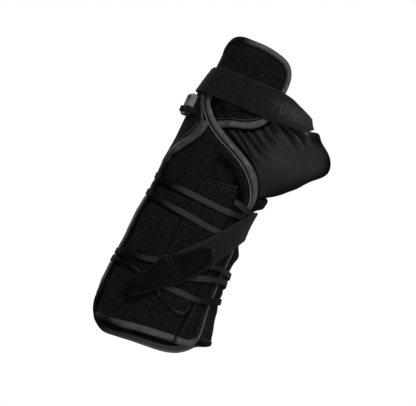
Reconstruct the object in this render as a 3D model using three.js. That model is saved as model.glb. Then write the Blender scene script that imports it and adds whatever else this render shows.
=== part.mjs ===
// A lace-up wrist and thumb brace for the left hand, in millimetres, +Z up.
// The arm stands along +Z with the fingers up. -Y is the back of the hand and
// forearm, +X the thumb side, -X the little-finger side, +Y the palm side.
// Every soft piece is a wall laid on one arm form: a stack of ellipses. A place
// on the form is (th, z): th in degrees round the ellipse (0 at the thumb side,
// -90 at the back of the hand, 180 at the little-finger side), z in mm.
// Lengths are first measured from below the hem, and the outer group puts the
// middle of the wrist's hollow at the origin.
import * as THREE from 'three';

// ---------------------------------------------------------------- sizes
const WRIST = { x: -3.6, y: 0, z: 115 };   // middle of the hollow at the wrist
const WALL = 2.6;                          // fleece panel thickness
const UNDER = -3.4;                        // how far a panel dips under the one above it
const OVER = 3.3;                          // how far the wing rides over the forearm panel
const TAPE = { width: 5.0, gap: 0.45, inner: 0.1, outer: 3.0 };
const SLEEVE = { inner: -2.4, outer: -1.3, rows: 7, cols: 36, swell: 7.2 };
const LACE = { width: 5.0, thick: 0.9 };
const STRAP = { thick: 1.5, endThick: 0.7 };
const POCKET = { inner: 3.0, outer: 3.95 };
const PULL = { thick: 1.4 };
const TAB = { inner: 7.55, outer: 9.4 };

// Thumb opening: centre of the sleeve's end, its radius, and its two ring axes.
const THUMB = {
  centre: new THREE.Vector3(66.5, 12, 193.5), radius: 18,
  near: new THREE.Vector3(0.567, -0.80, -0.194).normalize(),
  up: new THREE.Vector3(-0.384, 0, 0.923).normalize(),
  pull: 0.34,
};

// Arm form. Columns: z, little-finger side x, thumb side x, back y, palm y.
const FORM = [
  [-6, -42.0, 47.0, -35.5, 36.0],
  [8, -42.2, 46.4, -36.0, 36.0],
  [20, -44.1, 44.2, -36.0, 36.0],
  [34, -45.6, 40.6, -35.8, 35.8],
  [48, -45.0, 37.6, -35.2, 35.2],
  [70, -43.0, 35.4, -33.8, 33.8],
  [95, -41.9, 33.4, -31.2, 31.2],
  [110, -40.2, 32.2, -29.4, 29.4],
  [122, -39.0, 33.0, -28.4, 28.4],
  [140, -38.6, 36.0, -27.2, 27.2],
  [160, -36.8, 40.0, -26.8, 25.4],
  [180, -36.0, 42.4, -27.6, 22.4],
  [198, -35.2, 44.2, -29.4, 18.8],
  [213, -32.6, 45.0, -31.2, 15.2],
  [228, -32.2, 44.0, -33.2, 12.0],
  [250, -32.0, 41.0, -36.2, 7.0],
];

// Forearm panel, a row for each section. Columns: left th, left z, right th, right z.
const FOREARM = [
  [-183, 12.5, -50.5, 17.4],
  [-183, 18, -46, 22],
  [-183, 32, -42, 33],
  [-183, 50, -38.5, 50],
  [-183, 72, -35, 72],
  [-183, 95, -28.5, 94],
  [-183, 115, -26.5, 114],
  [-183, 132, -30, 132],
  [-180, 146, -41.4, 142.4],
  [-172, 157, -59.4, 152.7],
  [-163, 167, -82.4, 161.8],
  [-158, 176, -105, 169],
  [-156, 183, -124, 176.6],
  [-157, 189, -138, 184.2],
  [-160, 194, -149, 191],
];
// Its hem. Columns: th, z.
const FOREARM_HEM = [[-183, 10.8], [-150, 10.2], [-132.5, 10.8], [-119, 11.9], [-106, 13.2], [-94, 14.3], [-82, 15.2], [-70, 16.1], [-60, 16.4], [-50.5, 17.4]];

// Back panel. Columns: thumb-side th, z, little-finger-side th, z.
const BACK = [
  [-46, 24, 188.5, 25.5],
  [-44, 45, 189, 43],
  [-41, 70, 189, 66],
  [-36, 92, 189, 88],
  [-33, 108, 189, 104],
  [-33, 121, 189, 115],
  [-28, 129.5, 189, 123],
  [-17, 136.5, 189, 130],
  [-4, 144.5, 189, 136],
  [18, 146, 189.4, 142],
  [38, 146, 192, 147.4],
  [52, 147, 198, 152.6],
  [63, 155, 206, 158],
  [72, 165, 214, 163],
  [79, 176, 219, 169],
  [84, 189, 221.5, 176.5],
  [87, 202, 213, 186],
  [88, 213, 200, 199],
];
const BACK_HEM = [[-46, 24], [0, 24.6], [20, 24.2], [32, 23.2], [40, 21.8], [46, 19.4], [52, 16.2], [62, 12.4], [77, 9.6], [98, 8.1], [122, 6.6], [143, 5], [154, 7], [164, 12], [172, 19.5], [179, 24], [188.5, 25.5]];
const BACK_TOP = [[88, 213], [112, 215.5], [140, 212], [165, 206], [200, 199]];
// How far the back panel lies off the form. Columns: th, offset.
const BACK_LIFT = [[-60, UNDER], [-18, UNDER], [0, 0], [146, 0], [172, OVER], [250, OVER]];

// Beside the thumb it stands off further: its rim, and slack below the pull strap.
const RIM = { from: 131.5, full: 138.5, height: 4.5, over: 141.5, in: 146.5, left: 3.6 };
const SLACK = { z: 92.8, spread: 5.8, height: 3.2 };

// Hand panel. Columns: left th, left z, right th, right z.
const HAND = [
  [-124, 181.5, -77.5, 195.5],
  [-134, 188.8, -75.8, 201],
  [-144, 195.5, -75, 207],
  [-157, 201.5, -74.8, 213],
  [-174, 207.5, -74.5, 219],
  [-196, 212, -73.2, 225],
  [-207, 216, -73, 229.5],
  [-211, 221, -74, 234],
  [-211, 226, -77.8, 238.4],
];
const HAND_LOW = [[-124, 181.5], [-119, 182.7], [-107.6, 185.5], [-96.8, 187.2], [-86.7, 190], [-81.8, 192.6], [-77.5, 195.5]];
const HAND_TOP = [[-211, 226], [-196, 229], [-180, 232.4], [-164, 239], [-154, 242.6], [-142, 244.3], [-131, 244], [-121, 243.7], [-109, 243.4], [-97, 242.2], [-86, 240.5], [-77.8, 238.4]];
// The forearm panel's S-shaped edge. Columns: th, z. The hand panel dips under it.
const S_EDGE = [[-215, 202], [-160, 202], [-147, 199.5], [-141.6, 197.9], [-135, 192.4], [-129, 187.6], [-122, 182.4], [-113, 176.8], [-97, 170.5], [-82, 165.4], [-66, 160.7], [-47, 153.6], [-30, 143.7], [-21, 133]];

// Thumb sleeve, where it leaves the hand. Columns: th, z, and the angle on the end ring it runs to.
const SLEEVE_BASE = [
  [-14, 139, -90],
  [-27, 138, -78],
  [-36.6, 145.3, -64],
  [-51.2, 153.3, -49],
  [-70.2, 161.3, -34],
  [-91, 167.2, -20],
  [-110, 173.2, -6],
  [-112, 176.6, 2],
  [-103, 179, 10],
  [-94, 184, 18],
  [-84, 189, 28],
  [-75, 197, 40],
  [-62, 203, 56],
  [-44, 205, 70],
  [-20, 205.5, 84],
  [5, 205, 98],
  [30, 205, 114],
  [55, 206, 132],
  [80, 206, 150],
  [94, 200, 166],
  [92, 186, 184],
  [88, 171, 202],
  [78, 159, 218],
  [62, 147, 234],
  [42, 139, 248],
  [20, 136.6, 258],
  [2, 139, 264],
];

// Its end is drawn back beside the near edge. Columns: angle on the end ring, spread, distance.
const SLEEVE_CUT = [[50, 28, 4.4], [-64, 28, 5.4]];

// Stay pocket. Columns: left th, left z, right th, right z.
const STAY = [
  [-74, 31.5, -66, 32],
  [-84, 35.5, -61, 35.5],
  [-97.5, 41.5, -57.5, 44],
  [-100, 60, -57.8, 62],
  [-102, 82, -55, 84],
  [-101.5, 105, -52, 106],
  [-101.5, 122, -55.5, 122],
  [-101.5, 131, -59, 133],
  [-98, 136.5, -62, 141],
];

// Laces: a row where the run changes. Columns: th, z, offset.
const UPPER_LACE = [
  [-58, 128.8, 4.4], [-41.5, 127.3, 4.4], [-25, 127.2, 4.2], [2, 127.6, 3.1], [60, 128, 3.05], [138, 128, 3.05],
  [170, 127.6, 6.9], [203, 124, 6.9], [216, 122, 4.4], [240, 120.6, 4.4], [266, 119.2, 4.4], [291, 118.7, 4.4],
  [321, 120.4, 4.4], [335, 120.8, 4.2], [362, 120.4, 3.1], [420, 118, 3.05], [498, 114.6, 3.05], [530, 113, 6.9],
  [563, 109.4, 6.9], [576, 108, 4.4], [603, 105.1, 4.4], [625.5, 103.1, 4.4], [647.5, 101.3, 4.4], [668, 101.4, 4.4],
];
const LOWER_LACE = [
  [-66, 72.5, 4.4], [-51, 75.4, 4.4], [-36.6, 76.2, 4.4], [-19, 76.2, 4.0], [4, 76, 4.2], [30, 74.2, 4.2], [60, 72, 3.05], [138, 63.8, 3.05],
  [170, 60.8, 6.9], [203, 59.2, 6.9], [216, 60, 4.4], [237, 60.8, 4.4], [252, 62.4, 4.4], [272, 61.4, 4.4], [290, 60.8, 4.4],
  [305, 64.4, 4.4], [318, 66.8, 4.4], [338, 69, 4.0], [364, 68.6, 3.1], [420, 64, 3.05], [498, 56.2, 3.05],
  [530, 53.7, 6.9], [563, 53.4, 6.9], [576, 52.6, 4.4], [586, 52, 4.4], [598.5, 50.4, 4.4], [616, 47.6, 4.4], [633, 47, 4.4],
  [660, 46.8, 4.4], [674, 48.7, 4.4], [693.5, 52.8, 4.2], [724, 55.5, 3.1], [770, 55.5, 3.05], [812, 52, 3.05],
];

// Pull strap. Columns: upper th, upper z, lower th, lower z, offset.
const PULL_STRAP = [
  [-92, 74.2, -75, 56.8, 5.7],
  [-88.8, 76.9, -71.9, 59.4, 5.7],
  [-73.8, 88.7, -57, 72.4, 5.7],
  [-56.7, 102.5, -41, 87, 5.7],
  [-39.2, 117.1, -21.8, 100.8, 5.7],
  [-19.4, 129.4, 0, 107, 5.2],
  [2, 131.2, 16, 107.5, 4.4],
  [30, 131, 34, 107, 4.4],
  [74, 129.5, 74, 106, 4.4],
];

// Pull tab. Columns: upper th, upper z, lower th, lower z.
const PULL_TAB = [
  [-126.4, 37.5, -124.6, 33.4],
  [-125.9, 41, -119, 30.3],
  [-120, 46.9, -112.5, 32.3],
  [-111.4, 54.2, -102.9, 37.7],
  [-104.6, 65.4, -91.6, 44.8],
  [-97.6, 69.9, -83.5, 50],
  [-89.4, 73.4, -75, 56.9],
  [-80.3, 79.6, -67.7, 63.9],
  [-71.3, 85.3, -60.5, 72],
  [-65.5, 86.6, -57.5, 77],
  [-61.8, 85.8, -57.3, 81.5],
];

// Hand strap on the form. Columns: th, lower z, upper z, offset at the lower edge, at the upper edge.
const STRAP_TAIL = [
  [-205, 200.5, 219.5, 5.4, 4.6],
  [-190, 199, 220.2, 6.7, 4.8],
  [-172, 198.2, 220.8, 6.7, 3.8],
  [-158, 198.4, 221.3, 7.0, 3.6],
  [-146, 198.6, 221.5, 6.6, 3.6],
  [-134, 198, 221.5, 4.6, 3.6],
  [-115, 197.7, 220.7, 3.6, 3.6],
  [-97, 197.2, 220.6, 3.6, 3.6],
  [-80, 197.1, 220.4, 3.6, 3.6],
  [-67, 197.3, 220.2, 3.7, 3.7],
];
// Hand strap over the thumb web and down to the palm. Columns: lower x, y, z, upper x, y, z.
const STRAP_WEB = [
  [29.5, -29.5, 198, 29.5, -27.5, 219.4],
  [36, -26.5, 198.8, 36.5, -18.5, 218.2],
  [42.5, -23, 199.8, 42.8, -8, 217.4],
  [48, -18, 201.6, 47.6, 0.5, 216.8],
  [52.4, -8.5, 206.2, 49.4, 10, 217],
  [53.2, 3.5, 209.6, 46.5, 20.5, 215.6],
  [49.6, 17, 209.2, 39.5, 28, 210.5],
  [41.4, 27.8, 202.5, 31, 30, 205.4],
];
// Hand strap across the palm to the ring. Columns: th, lower z, upper z, offset.
const STRAP_PALM = [
  [78, 185.5, 206, 5.4],
  [98, 180, 202, 3.6],
  [122, 178.2, 199.4, 3.4],
  [142, 178.4, 195, 3.8],
  [168, 180, 189, 7.2],
];

// Ring at the little-finger edge, upright, its face turned the way the wing faces there.
const RING = { th: 192.8, z: 186.7, off: 8.7, long: 18, wide: 12, bar: 2.2, thick: 4.8 };
// Paths beside it. Columns: distance from its middle towards the front bar, height off its middle plane.
// The strap's narrow end over the rear bar.
const STRAP_END = [[-10.8, -1.6], [-8.4, 0.9], [-6.6, 2.9], [-4.8, 3.15], [-3, 1.7], [-2.6, -0.6]];
const STRAP_END_Z = [180.2, 184.4];
// The webbing loop over the front bar.
const RING_LOOP = [[2.6, -0.8], [2.9, 1.6], [4.5, 3.1], [6.7, 2.9], [8.3, 0.4], [9.5, -2.2], [10.8, -4]];
const LOOP = { width: 4.2, thick: 0.8, z: 182.3 };

const MATERIALS = {
  fleece: { color: 0x17171a, roughness: 0.96, metalness: 0 },
  tape: { color: 0x3a3b40, roughness: 0.7, metalness: 0 },
  sleeve: { color: 0x1d1d21, roughness: 0.55, metalness: 0 },
  webbing: { color: 0x26272a, roughness: 0.85, metalness: 0 },
  hook: { color: 0x0c0c0d, roughness: 0.95, metalness: 0 },
  plastic: { color: 0x77797c, roughness: 0.45, metalness: 0 },
};

// ---------------------------------------------------------------- the form
const rad = (d) => (d * Math.PI) / 180;
const lerp = (a, b, t) => a + (b - a) * t;
const smooth = (a, b, x) => {
  const t = Math.min(1, Math.max(0, (x - a) / (b - a)));
  return t * t * (3 - 2 * t);
};

// Cubic through a table's rows: x is the first column, the value is column c.
function along(rows, c, x) {
  const n = rows.length;
  const X = (i) => rows[i][0];
  const V = (i) => rows[i][c];
  if (x <= X(0)) return V(0);
  if (x >= X(n - 1)) return V(n - 1);
  let i = 0;
  while (x > X(i + 1)) i++;
  const slope = (k) => {
    if (k === 0) return (V(1) - V(0)) / (X(1) - X(0));
    if (k === n - 1) return (V(n - 1) - V(n - 2)) / (X(n - 1) - X(n - 2));
    return (V(k + 1) - V(k - 1)) / (X(k + 1) - X(k - 1));
  };
  const h = X(i + 1) - X(i);
  const t = (x - X(i)) / h;
  return (2 * t ** 3 - 3 * t ** 2 + 1) * V(i) + (t ** 3 - 2 * t ** 2 + t) * h * slope(i)
    + (-2 * t ** 3 + 3 * t ** 2) * V(i + 1) + (t ** 3 - t ** 2) * h * slope(i + 1);
}
// The same by row number: s runs from 0 to 1 over the rows, and all columns come back.
function row(rows, s) {
  const n = rows.length - 1;
  const numbered = rows.map((r, i) => [i, ...r]);
  return rows[0].map((_, c) => along(numbered, c + 1, s * n));
}
// Straight steps between rows, for offsets that must not overshoot.
function steps(rows, x) {
  if (x <= rows[0][0]) return rows[0][1];
  for (let i = 0; i + 1 < rows.length; i++) {
    if (x <= rows[i + 1][0]) return lerp(rows[i][1], rows[i + 1][1], smooth(rows[i][0], rows[i + 1][0], x));
  }
  return rows[rows.length - 1][1];
}

function formPoint(th, z) {
  const [xl, xr, yf, yb] = [1, 2, 3, 4].map((c) => along(FORM, c, z));
  return new THREE.Vector3((xl + xr) / 2 + ((xr - xl) / 2) * Math.cos(rad(th)),
    (yf + yb) / 2 + ((yb - yf) / 2) * Math.sin(rad(th)), z);
}
function formSlopes(th, z) {
  const a = formPoint(th + 0.05, z).sub(formPoint(th - 0.05, z)).divideScalar(0.1);
  const b = formPoint(th, z + 0.2).sub(formPoint(th, z - 0.2)).divideScalar(0.4);
  return [a, b];
}
function formNormal(th, z) {
  const [a, b] = formSlopes(th, z);
  return a.cross(b).normalize();
}
const skin = (th, z, off) => formPoint(th, z).addScaledVector(formNormal(th, z), off);
// Moves a place on the form by a vector that lies along its surface.
function slide([th, z], step) {
  let [t, h] = [th, z];
  for (let k = 0; k < 2; k++) {
    const [a, b] = formSlopes(t, h);
    const [aa, ab, bb] = [a.dot(a), a.dot(b), b.dot(b)];
    const [sa, sb] = [a.dot(step) / 2, b.dot(step) / 2];
    const det = aa * bb - ab * ab;
    t += (sa * bb - sb * ab) / det;
    h += (sb * aa - sa * ab) / det;
  }
  return [t, h];
}

// ---------------------------------------------------------------- walls
// A closed wall between two grids of points, grid[j][i]. With ring, i closes on itself.
function wall(outer, inner, ring = false) {
  const nv = outer.length;
  const nu = outer[0].length;
  const points = [...outer.flat(), ...inner.flat()];
  const at = (side, j, i) => side * nv * nu + j * nu + (i % nu);
  const index = [];
  // split along the shorter diagonal, so that slanting rows lie smoothly
  const quad = (a, b, c, d) => {
    const first = points[a].distanceTo(points[c]) <= points[b].distanceTo(points[d]);
    index.push(...(first ? [a, b, c, a, c, d] : [a, b, d, b, c, d]));
  };
  const last = ring ? nu : nu - 1;
  for (let j = 0; j + 1 < nv; j++) {
    for (let i = 0; i < last; i++) {
      quad(at(0, j, i), at(0, j, i + 1), at(0, j + 1, i + 1), at(0, j + 1, i));
      quad(at(1, j, i), at(1, j + 1, i), at(1, j + 1, i + 1), at(1, j, i + 1));
    }
    if (!ring) {
      quad(at(0, j, 0), at(0, j + 1, 0), at(1, j + 1, 0), at(1, j, 0));
      quad(at(0, j, nu - 1), at(1, j, nu - 1), at(1, j + 1, nu - 1), at(0, j + 1, nu - 1));
    }
  }
  for (let i = 0; i < last; i++) {
    quad(at(0, 0, i), at(1, 0, i), at(1, 0, i + 1), at(0, 0, i + 1));
    quad(at(0, nv - 1, i), at(0, nv - 1, i + 1), at(1, nv - 1, i + 1), at(1, nv - 1, i));
  }
  // turn every face outwards if the grids ran the other way round
  let volume = 0;
  for (let k = 0; k < index.length; k += 3) {
    volume += points[index[k]].dot(points[index[k + 1]].clone().cross(points[index[k + 2]]));
  }
  if (volume < 0) for (let k = 0; k < index.length; k += 3) [index[k], index[k + 1]] = [index[k + 1], index[k]];
  const geometry = new THREE.BufferGeometry().setFromPoints(points);
  geometry.setIndex(index);
  geometry.computeVertexNormals();
  return geometry;
}

// A panel as a grid of places on the form, from its section rows and its hem or top lines.
function panelGrid(rows, nu, nv, low = null, top = null) {
  const grid = [];
  const [first, final] = [row(rows, 0), row(rows, 1)];
  for (let j = 0; j <= nv; j++) {
    const v = j / nv;
    const [lt, lz, rt, rz] = row(rows, v);
    const line = [];
    for (let i = 0; i <= nu; i++) {
      const u = i / nu;
      let z = lerp(lz, rz, u);
      if (low) z += (1 - v) ** 3 * (along(low, 1, lerp(first[0], first[2], u)) - lerp(first[1], first[3], u));
      if (top) z += v ** 3 * (along(top, 1, lerp(final[0], final[2], u)) - lerp(final[1], final[3], u));
      line.push([lerp(lt, rt, u), z]);
    }
    grid.push(line);
  }
  return grid;
}
function panel(grid, lift, thick = WALL) {
  const side = (t) => grid.map((line) => line.map(([th, z]) => skin(th, z, lift(th, z) + t)));
  return wall(side(thick), side(0));
}

// Edge tape outside a chain of panel edge places. out = 1 puts it to the right of the chain's run.
function tape(chain, lift, out, width = TAPE.width) {
  const spots = chain.map(([th, z]) => skin(th, z, lift(th, z) + WALL / 2));
  const edge = chain.map(([th, z], k) => {
    const n = formNormal(th, z);
    const sides = [];
    if (k > 0) sides.push(spots[k].clone().sub(spots[k - 1]));
    if (k + 1 < chain.length) sides.push(spots[k + 1].clone().sub(spots[k]));
    const across = sides.map((t) => t.cross(n).normalize().multiplyScalar(out));
    const mitre = across.length === 2 ? across[0].clone().add(across[1]).divideScalar(1 + across[0].dot(across[1])) : across[0];
    if (mitre.length() > 1.5) mitre.setLength(1.5);
    return [0, 1].map((f) => slide([th, z], mitre.clone().multiplyScalar(TAPE.gap + width * f)));
  });
  const side = (t) => edge.map((places, k) => places.map(([th, z]) => skin(th, z, lift(...chain[k]) + t)));
  return wall(side(TAPE.outer), side(TAPE.inner));
}

// A flat lace along rows of th, z, offset.
function lace(rows, count) {
  const path = Array.from({ length: count + 1 }, (_, k) => {
    const th = lerp(rows[0][0], rows[rows.length - 1][0], k / count);
    return [th, along(rows, 1, th), steps(rows.map((r) => [r[0], r[2]]), th)];
  });
  const place = ([th, z, off], t) => skin(th, z, off + t);
  const edges = path.map((p, k) => {
    const a = place(path[Math.max(0, k - 1)], 0);
    const b = place(path[Math.min(count, k + 1)], 0);
    const across = b.sub(a).cross(formNormal(p[0], p[1])).setLength(LACE.width / 2);
    return [1, -1].map((s) => slide([p[0], p[1]], across.clone().multiplyScalar(s)));
  });
  const side = (t) => edges.map((pair, k) => pair.map(([th, z]) => skin(th, z, path[k][2] + t)));
  return wall(side(LACE.thick), side(0));
}

// A wide band between an upper and a lower line of places.
function band(rows, nu, nv, offset, thick) {
  const grid = panelGrid(rows.map((r) => r.slice(0, 4)), nu, nv);
  const off = (j) => offset(j / nv);
  const side = (t) => grid.map((line, j) => line.map(([th, z]) => skin(th, z, off(j) + t)));
  return wall(side(thick), side(0));
}

// A strap through sections that each have a lower and an upper point.
function strap(sections, nu, count, thick, smoothRun = true) {
  const line = (k) => new THREE.CatmullRomCurve3(sections.map((s) => s[k]), false, 'centripetal');
  const curves = [line(0), line(1)];
  const pick = (c, k) => (smoothRun ? c.getPoint(k / count) : sections[k][curves.indexOf(c)].clone());
  const rows = Array.from({ length: count + 1 }, (_, k) => curves.map((c) => pick(c, k)));
  const normals = rows.map(([a, b], k) => {
    const before = rows[Math.max(0, k - 1)];
    const after = rows[Math.min(count, k + 1)];
    const run = after[0].clone().add(after[1]).sub(before[0]).sub(before[1]);
    return run.cross(b.clone().sub(a)).normalize();
  });
  const depth = (k) => (typeof thick === 'function' ? thick(k / count) : thick);
  const side = (t) => rows.map(([a, b], k) => Array.from({ length: nu + 1 }, (_, i) => a.clone().lerp(b, i / nu).addScaledVector(normals[k], t * depth(k))));
  return wall(side(1), side(0));
}

// ---------------------------------------------------------------- pieces
const group = new THREE.Group();
const brace = new THREE.Group();
brace.position.set(-WRIST.x, -WRIST.y, -WRIST.z);
group.add(brace);
function add(name, geometry, finish) {
  const mesh = new THREE.Mesh(geometry, new THREE.MeshStandardMaterial(MATERIALS[finish]));
  mesh.name = name;
  brace.add(mesh);
  return mesh;
}

const flat = () => 0;
const besideThumb = (th) => smooth(-18, -6, th) * (1 - smooth(38, 56, th));
const backLift = (th, z) => steps(BACK_LIFT, th)
  + besideThumb(th) * (RIM.height * smooth(RIM.from, RIM.full, z) - (RIM.height - RIM.left) * smooth(RIM.over, RIM.in, z) + SLACK.height * Math.exp(-(((z - SLACK.z) / SLACK.spread) ** 2)));
const handLift = (th, z) => UNDER * (1 - smooth(6.5, 13, z - along(S_EDGE, 1, th)));

// forearm panel and its tape
const forearm = panelGrid(FOREARM, 14, 21, FOREARM_HEM);
add('forearm_panel', panel(forearm, flat), 'fleece');
const forearmChain = [...forearm[0], ...forearm.slice(1).map((line) => line[line.length - 1])];
add('forearm_binding', tape(forearmChain, flat, 1), 'tape');

// back panel and its tape
const back = panelGrid(BACK, 24, 24, BACK_HEM, BACK_TOP);
add('back_panel', panel(back, backLift), 'fleece');
const backChain = [...back[0], ...back.slice(1).map((line) => line[line.length - 1])];
add('back_binding', tape(backChain, backLift, 1), 'tape');

// hand panel and its tape
const hand = panelGrid(HAND, 13, 11, HAND_LOW, HAND_TOP);
add('hand_panel', panel(hand, handLift), 'fleece');
const handChain = [...hand[0], ...hand.slice(1).map((line) => line[line.length - 1]), ...hand[hand.length - 1].slice(0, -1).reverse()];
add('hand_binding', tape(handChain, (th, z) => handLift(th, z) - 0.35, 1), 'tape');

// thumb sleeve: from the hand to the thumb ring, a smooth curve for each place round it
{
  const loop = [...SLEEVE_BASE, [SLEEVE_BASE[0][0] , SLEEVE_BASE[0][1], SLEEVE_BASE[0][2] + 360]];
  const axis = THUMB.near.clone().cross(THUMB.up).normalize();
  if (axis.x < 0) axis.negate();
  const spot = (s) => {
    const n = loop.length - 1;
    const wrapped = [-1, ...Array(n + 2).keys()].map((i) => {
      const k = ((i % n) + n) % n;
      const turn = Math.floor(i / n);
      return [i, loop[k][0], loop[k][1], loop[k][2] + 360 * turn];
    });
    return [1, 2, 3].map((c) => along(wrapped, c, s * n));
  };
  const turned = (phi) => phi - 360 * Math.round(phi / 360);
  const drawn = (phi) => SLEEVE_CUT.reduce((sum, [at, spread, far]) => sum + far * Math.exp(-((turned(phi - at) / spread) ** 2)), 0);
  const ringPoint = (phi, r) => THUMB.centre.clone()
    .addScaledVector(THUMB.near, r * Math.cos(rad(phi))).addScaledVector(THUMB.up, r * Math.sin(rad(phi)));
  const side = (off, r) => {
    const columns = Array.from({ length: SLEEVE.cols }, (_, i) => {
      const [th, z, phi] = spot(i / SLEEVE.cols);
      const p0 = skin(th, z, off);
      const p3 = ringPoint(phi, r).addScaledVector(axis, -drawn(phi));
      const reach = p3.clone().sub(p0);
      const n = formNormal(th, z);
      const t0 = reach.clone().addScaledVector(n, -reach.dot(n)).normalize();
      const span = reach.length() * THUMB.pull;
      const p1 = p0.clone().addScaledVector(t0, span);
      const p2 = p3.clone().addScaledVector(axis, -span);
      // the root of the thumb fills out the lower side
      const away = ringPoint(phi, 1).sub(THUMB.centre);
      const full = SLEEVE.swell * Math.max(0, -Math.sin(rad(phi))) ** 1.3;
      const curve = new THREE.CubicBezierCurve3(p0, p1, p2, p3);
      return (t) => curve.getPoint(t).addScaledVector(away, full * Math.max(0, Math.sin(Math.PI * t)) ** 1.1);
    });
    return Array.from({ length: SLEEVE.rows + 1 }, (_, j) => columns.map((c) => c(j / SLEEVE.rows)));
  };
  const thick = SLEEVE.outer - SLEEVE.inner;
  add('thumb_sleeve', wall(side(SLEEVE.outer, THUMB.radius), side(SLEEVE.inner, THUMB.radius - thick), true), 'sleeve');
}

// stay pocket
add('stay_pocket', band(STAY, 4, 12, () => POCKET.inner, POCKET.outer - POCKET.inner), 'fleece');

// laces
add('upper_lace', lace(UPPER_LACE, 84), 'webbing');
add('lower_lace', lace(LOWER_LACE, 100), 'webbing');

// pull strap and tab
add('pull_strap', band(PULL_STRAP, 3, 20, (v) => row(PULL_STRAP, v)[4], PULL.thick), 'webbing');
add('pull_tab', band(PULL_TAB, 3, 14, () => TAB.inner, TAB.outer - TAB.inner), 'hook');

// the ring's own frame: its middle, its outward side and the way to its front bar
const ringAt = skin(RING.th, RING.z, RING.off);
const ringOut = formNormal(RING.th, RING.z).setZ(0).normalize();
const ringFront = new THREE.Vector3(-ringOut.y, ringOut.x, 0);
const byRing = (a, h, z) => ringAt.clone().addScaledVector(ringFront, a).addScaledVector(ringOut, h).setZ(z);

// hand strap: across the hand, over the web, across the palm to the ring
{
  const onForm = ([th, lo, hi, off, high = off]) => [skin(th, lo, off), skin(th, hi, high)];
  const inAir = ([ax, ay, az, bx, by, bz]) => [new THREE.Vector3(ax, ay, az), new THREE.Vector3(bx, by, bz)];
  const sections = [...STRAP_TAIL.map(onForm), ...STRAP_WEB.map(inAir), ...STRAP_PALM.map(onForm),
    ...STRAP_END.map(([a, h]) => STRAP_END_Z.map((z) => byRing(a, h, z)))];
  add('hand_strap', strap(sections, 1, 62, (u) => STRAP.thick + (STRAP.endThick - STRAP.thick) * smooth(0.78, 0.84, u)), 'webbing');
}

// ring: a rectangle with a slot
{
  const box = (w, h, r) => {
    const s = new THREE.Shape();
    s.moveTo(-w / 2 + r, -h / 2);
    s.lineTo(w / 2 - r, -h / 2);
    s.absarc(w / 2 - r, -h / 2 + r, r, -Math.PI / 2, 0);
    s.lineTo(w / 2, h / 2 - r);
    s.absarc(w / 2 - r, h / 2 - r, r, 0, Math.PI / 2);
    s.lineTo(-w / 2 + r, h / 2);
    s.absarc(-w / 2 + r, h / 2 - r, r, Math.PI / 2, Math.PI);
    s.lineTo(-w / 2, -h / 2 + r);
    s.absarc(-w / 2 + r, -h / 2 + r, r, Math.PI, Math.PI * 1.5);
    return s;
  };
  const shape = box(RING.wide, RING.long, 2.5);
  shape.holes.push(box(RING.wide - 2 * RING.bar, RING.long - 2 * RING.bar, 1));
  const geometry = new THREE.ExtrudeGeometry(shape, { depth: RING.thick, bevelEnabled: false, curveSegments: 4 });
  const ring = add('strap_ring', geometry, 'plastic');
  // the shape's width runs from the rear bar to the front, its length along Z, its depth outwards
  const turn = new THREE.Matrix4().makeBasis(ringFront, new THREE.Vector3(0, 0, 1), ringOut);
  ring.quaternion.setFromRotationMatrix(turn);
  ring.position.copy(byRing(0, -RING.thick / 2, RING.z));
}

// ring loop: a short webbing strip sewn to the wing and humped over the ring's front bar
{
  const sections = RING_LOOP.map(([a, h]) => [-1, 1].map((k) => byRing(a, h, LOOP.z + (k * LOOP.width) / 2)));
  add('ring_loop', strap(sections, 1, 16, LOOP.thick), 'webbing');
}

export default group;
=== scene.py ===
# Looks for a lace-up wrist and thumb brace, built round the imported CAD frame.
# Every soft piece is laid on the same arm form as its CAD solid, in fine mesh with
# its folds, stitches and edges, and takes the solid's place.
import math

import bpy
import numpy as np
from mathutils import Matrix


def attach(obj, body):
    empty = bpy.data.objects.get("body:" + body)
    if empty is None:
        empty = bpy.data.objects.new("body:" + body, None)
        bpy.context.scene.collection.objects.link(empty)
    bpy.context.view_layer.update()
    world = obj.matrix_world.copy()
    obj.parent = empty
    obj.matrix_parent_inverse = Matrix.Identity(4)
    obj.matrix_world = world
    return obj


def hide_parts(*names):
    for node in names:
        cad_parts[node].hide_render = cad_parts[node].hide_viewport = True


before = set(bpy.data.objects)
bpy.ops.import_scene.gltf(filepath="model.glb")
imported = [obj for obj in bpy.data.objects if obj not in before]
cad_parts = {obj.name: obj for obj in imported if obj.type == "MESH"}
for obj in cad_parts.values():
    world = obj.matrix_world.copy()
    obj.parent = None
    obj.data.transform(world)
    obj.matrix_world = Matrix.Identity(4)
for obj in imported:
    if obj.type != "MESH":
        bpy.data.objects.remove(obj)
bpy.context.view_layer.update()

MM = 0.001
SHIFT = np.array([3.6, 0.0, -115.0])  # from the form's millimetres to the part's frame

# ------------------------------------------------------------------ sizes, as in the CAD source
WALL, UNDER, OVER = 2.6, -3.4, 3.3
TAPE_WIDTH, TAPE_GAP = 5.0, 0.45
SLEEVE_IN, SLEEVE_OUT = -2.4, -1.3
LACE_WIDTH, LACE_THICK = 5.0, 0.9
STRAP_THICK, STRAP_END_THICK, PULL_THICK = 1.5, 0.7, 1.4
TAB_IN, TAB_OUT = 7.55, 9.4


def unit(v):
    v = np.asarray(v, float)
    return v / np.linalg.norm(v, axis=-1, keepdims=True)


THUMB_CENTRE, THUMB_RADIUS, THUMB_PULL = np.array([66.5, 12, 193.5]), 18.0, 0.34
THUMB_NEAR, THUMB_UP = unit([0.567, -0.80, -0.194]), unit([-0.384, 0, 0.923])

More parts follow.
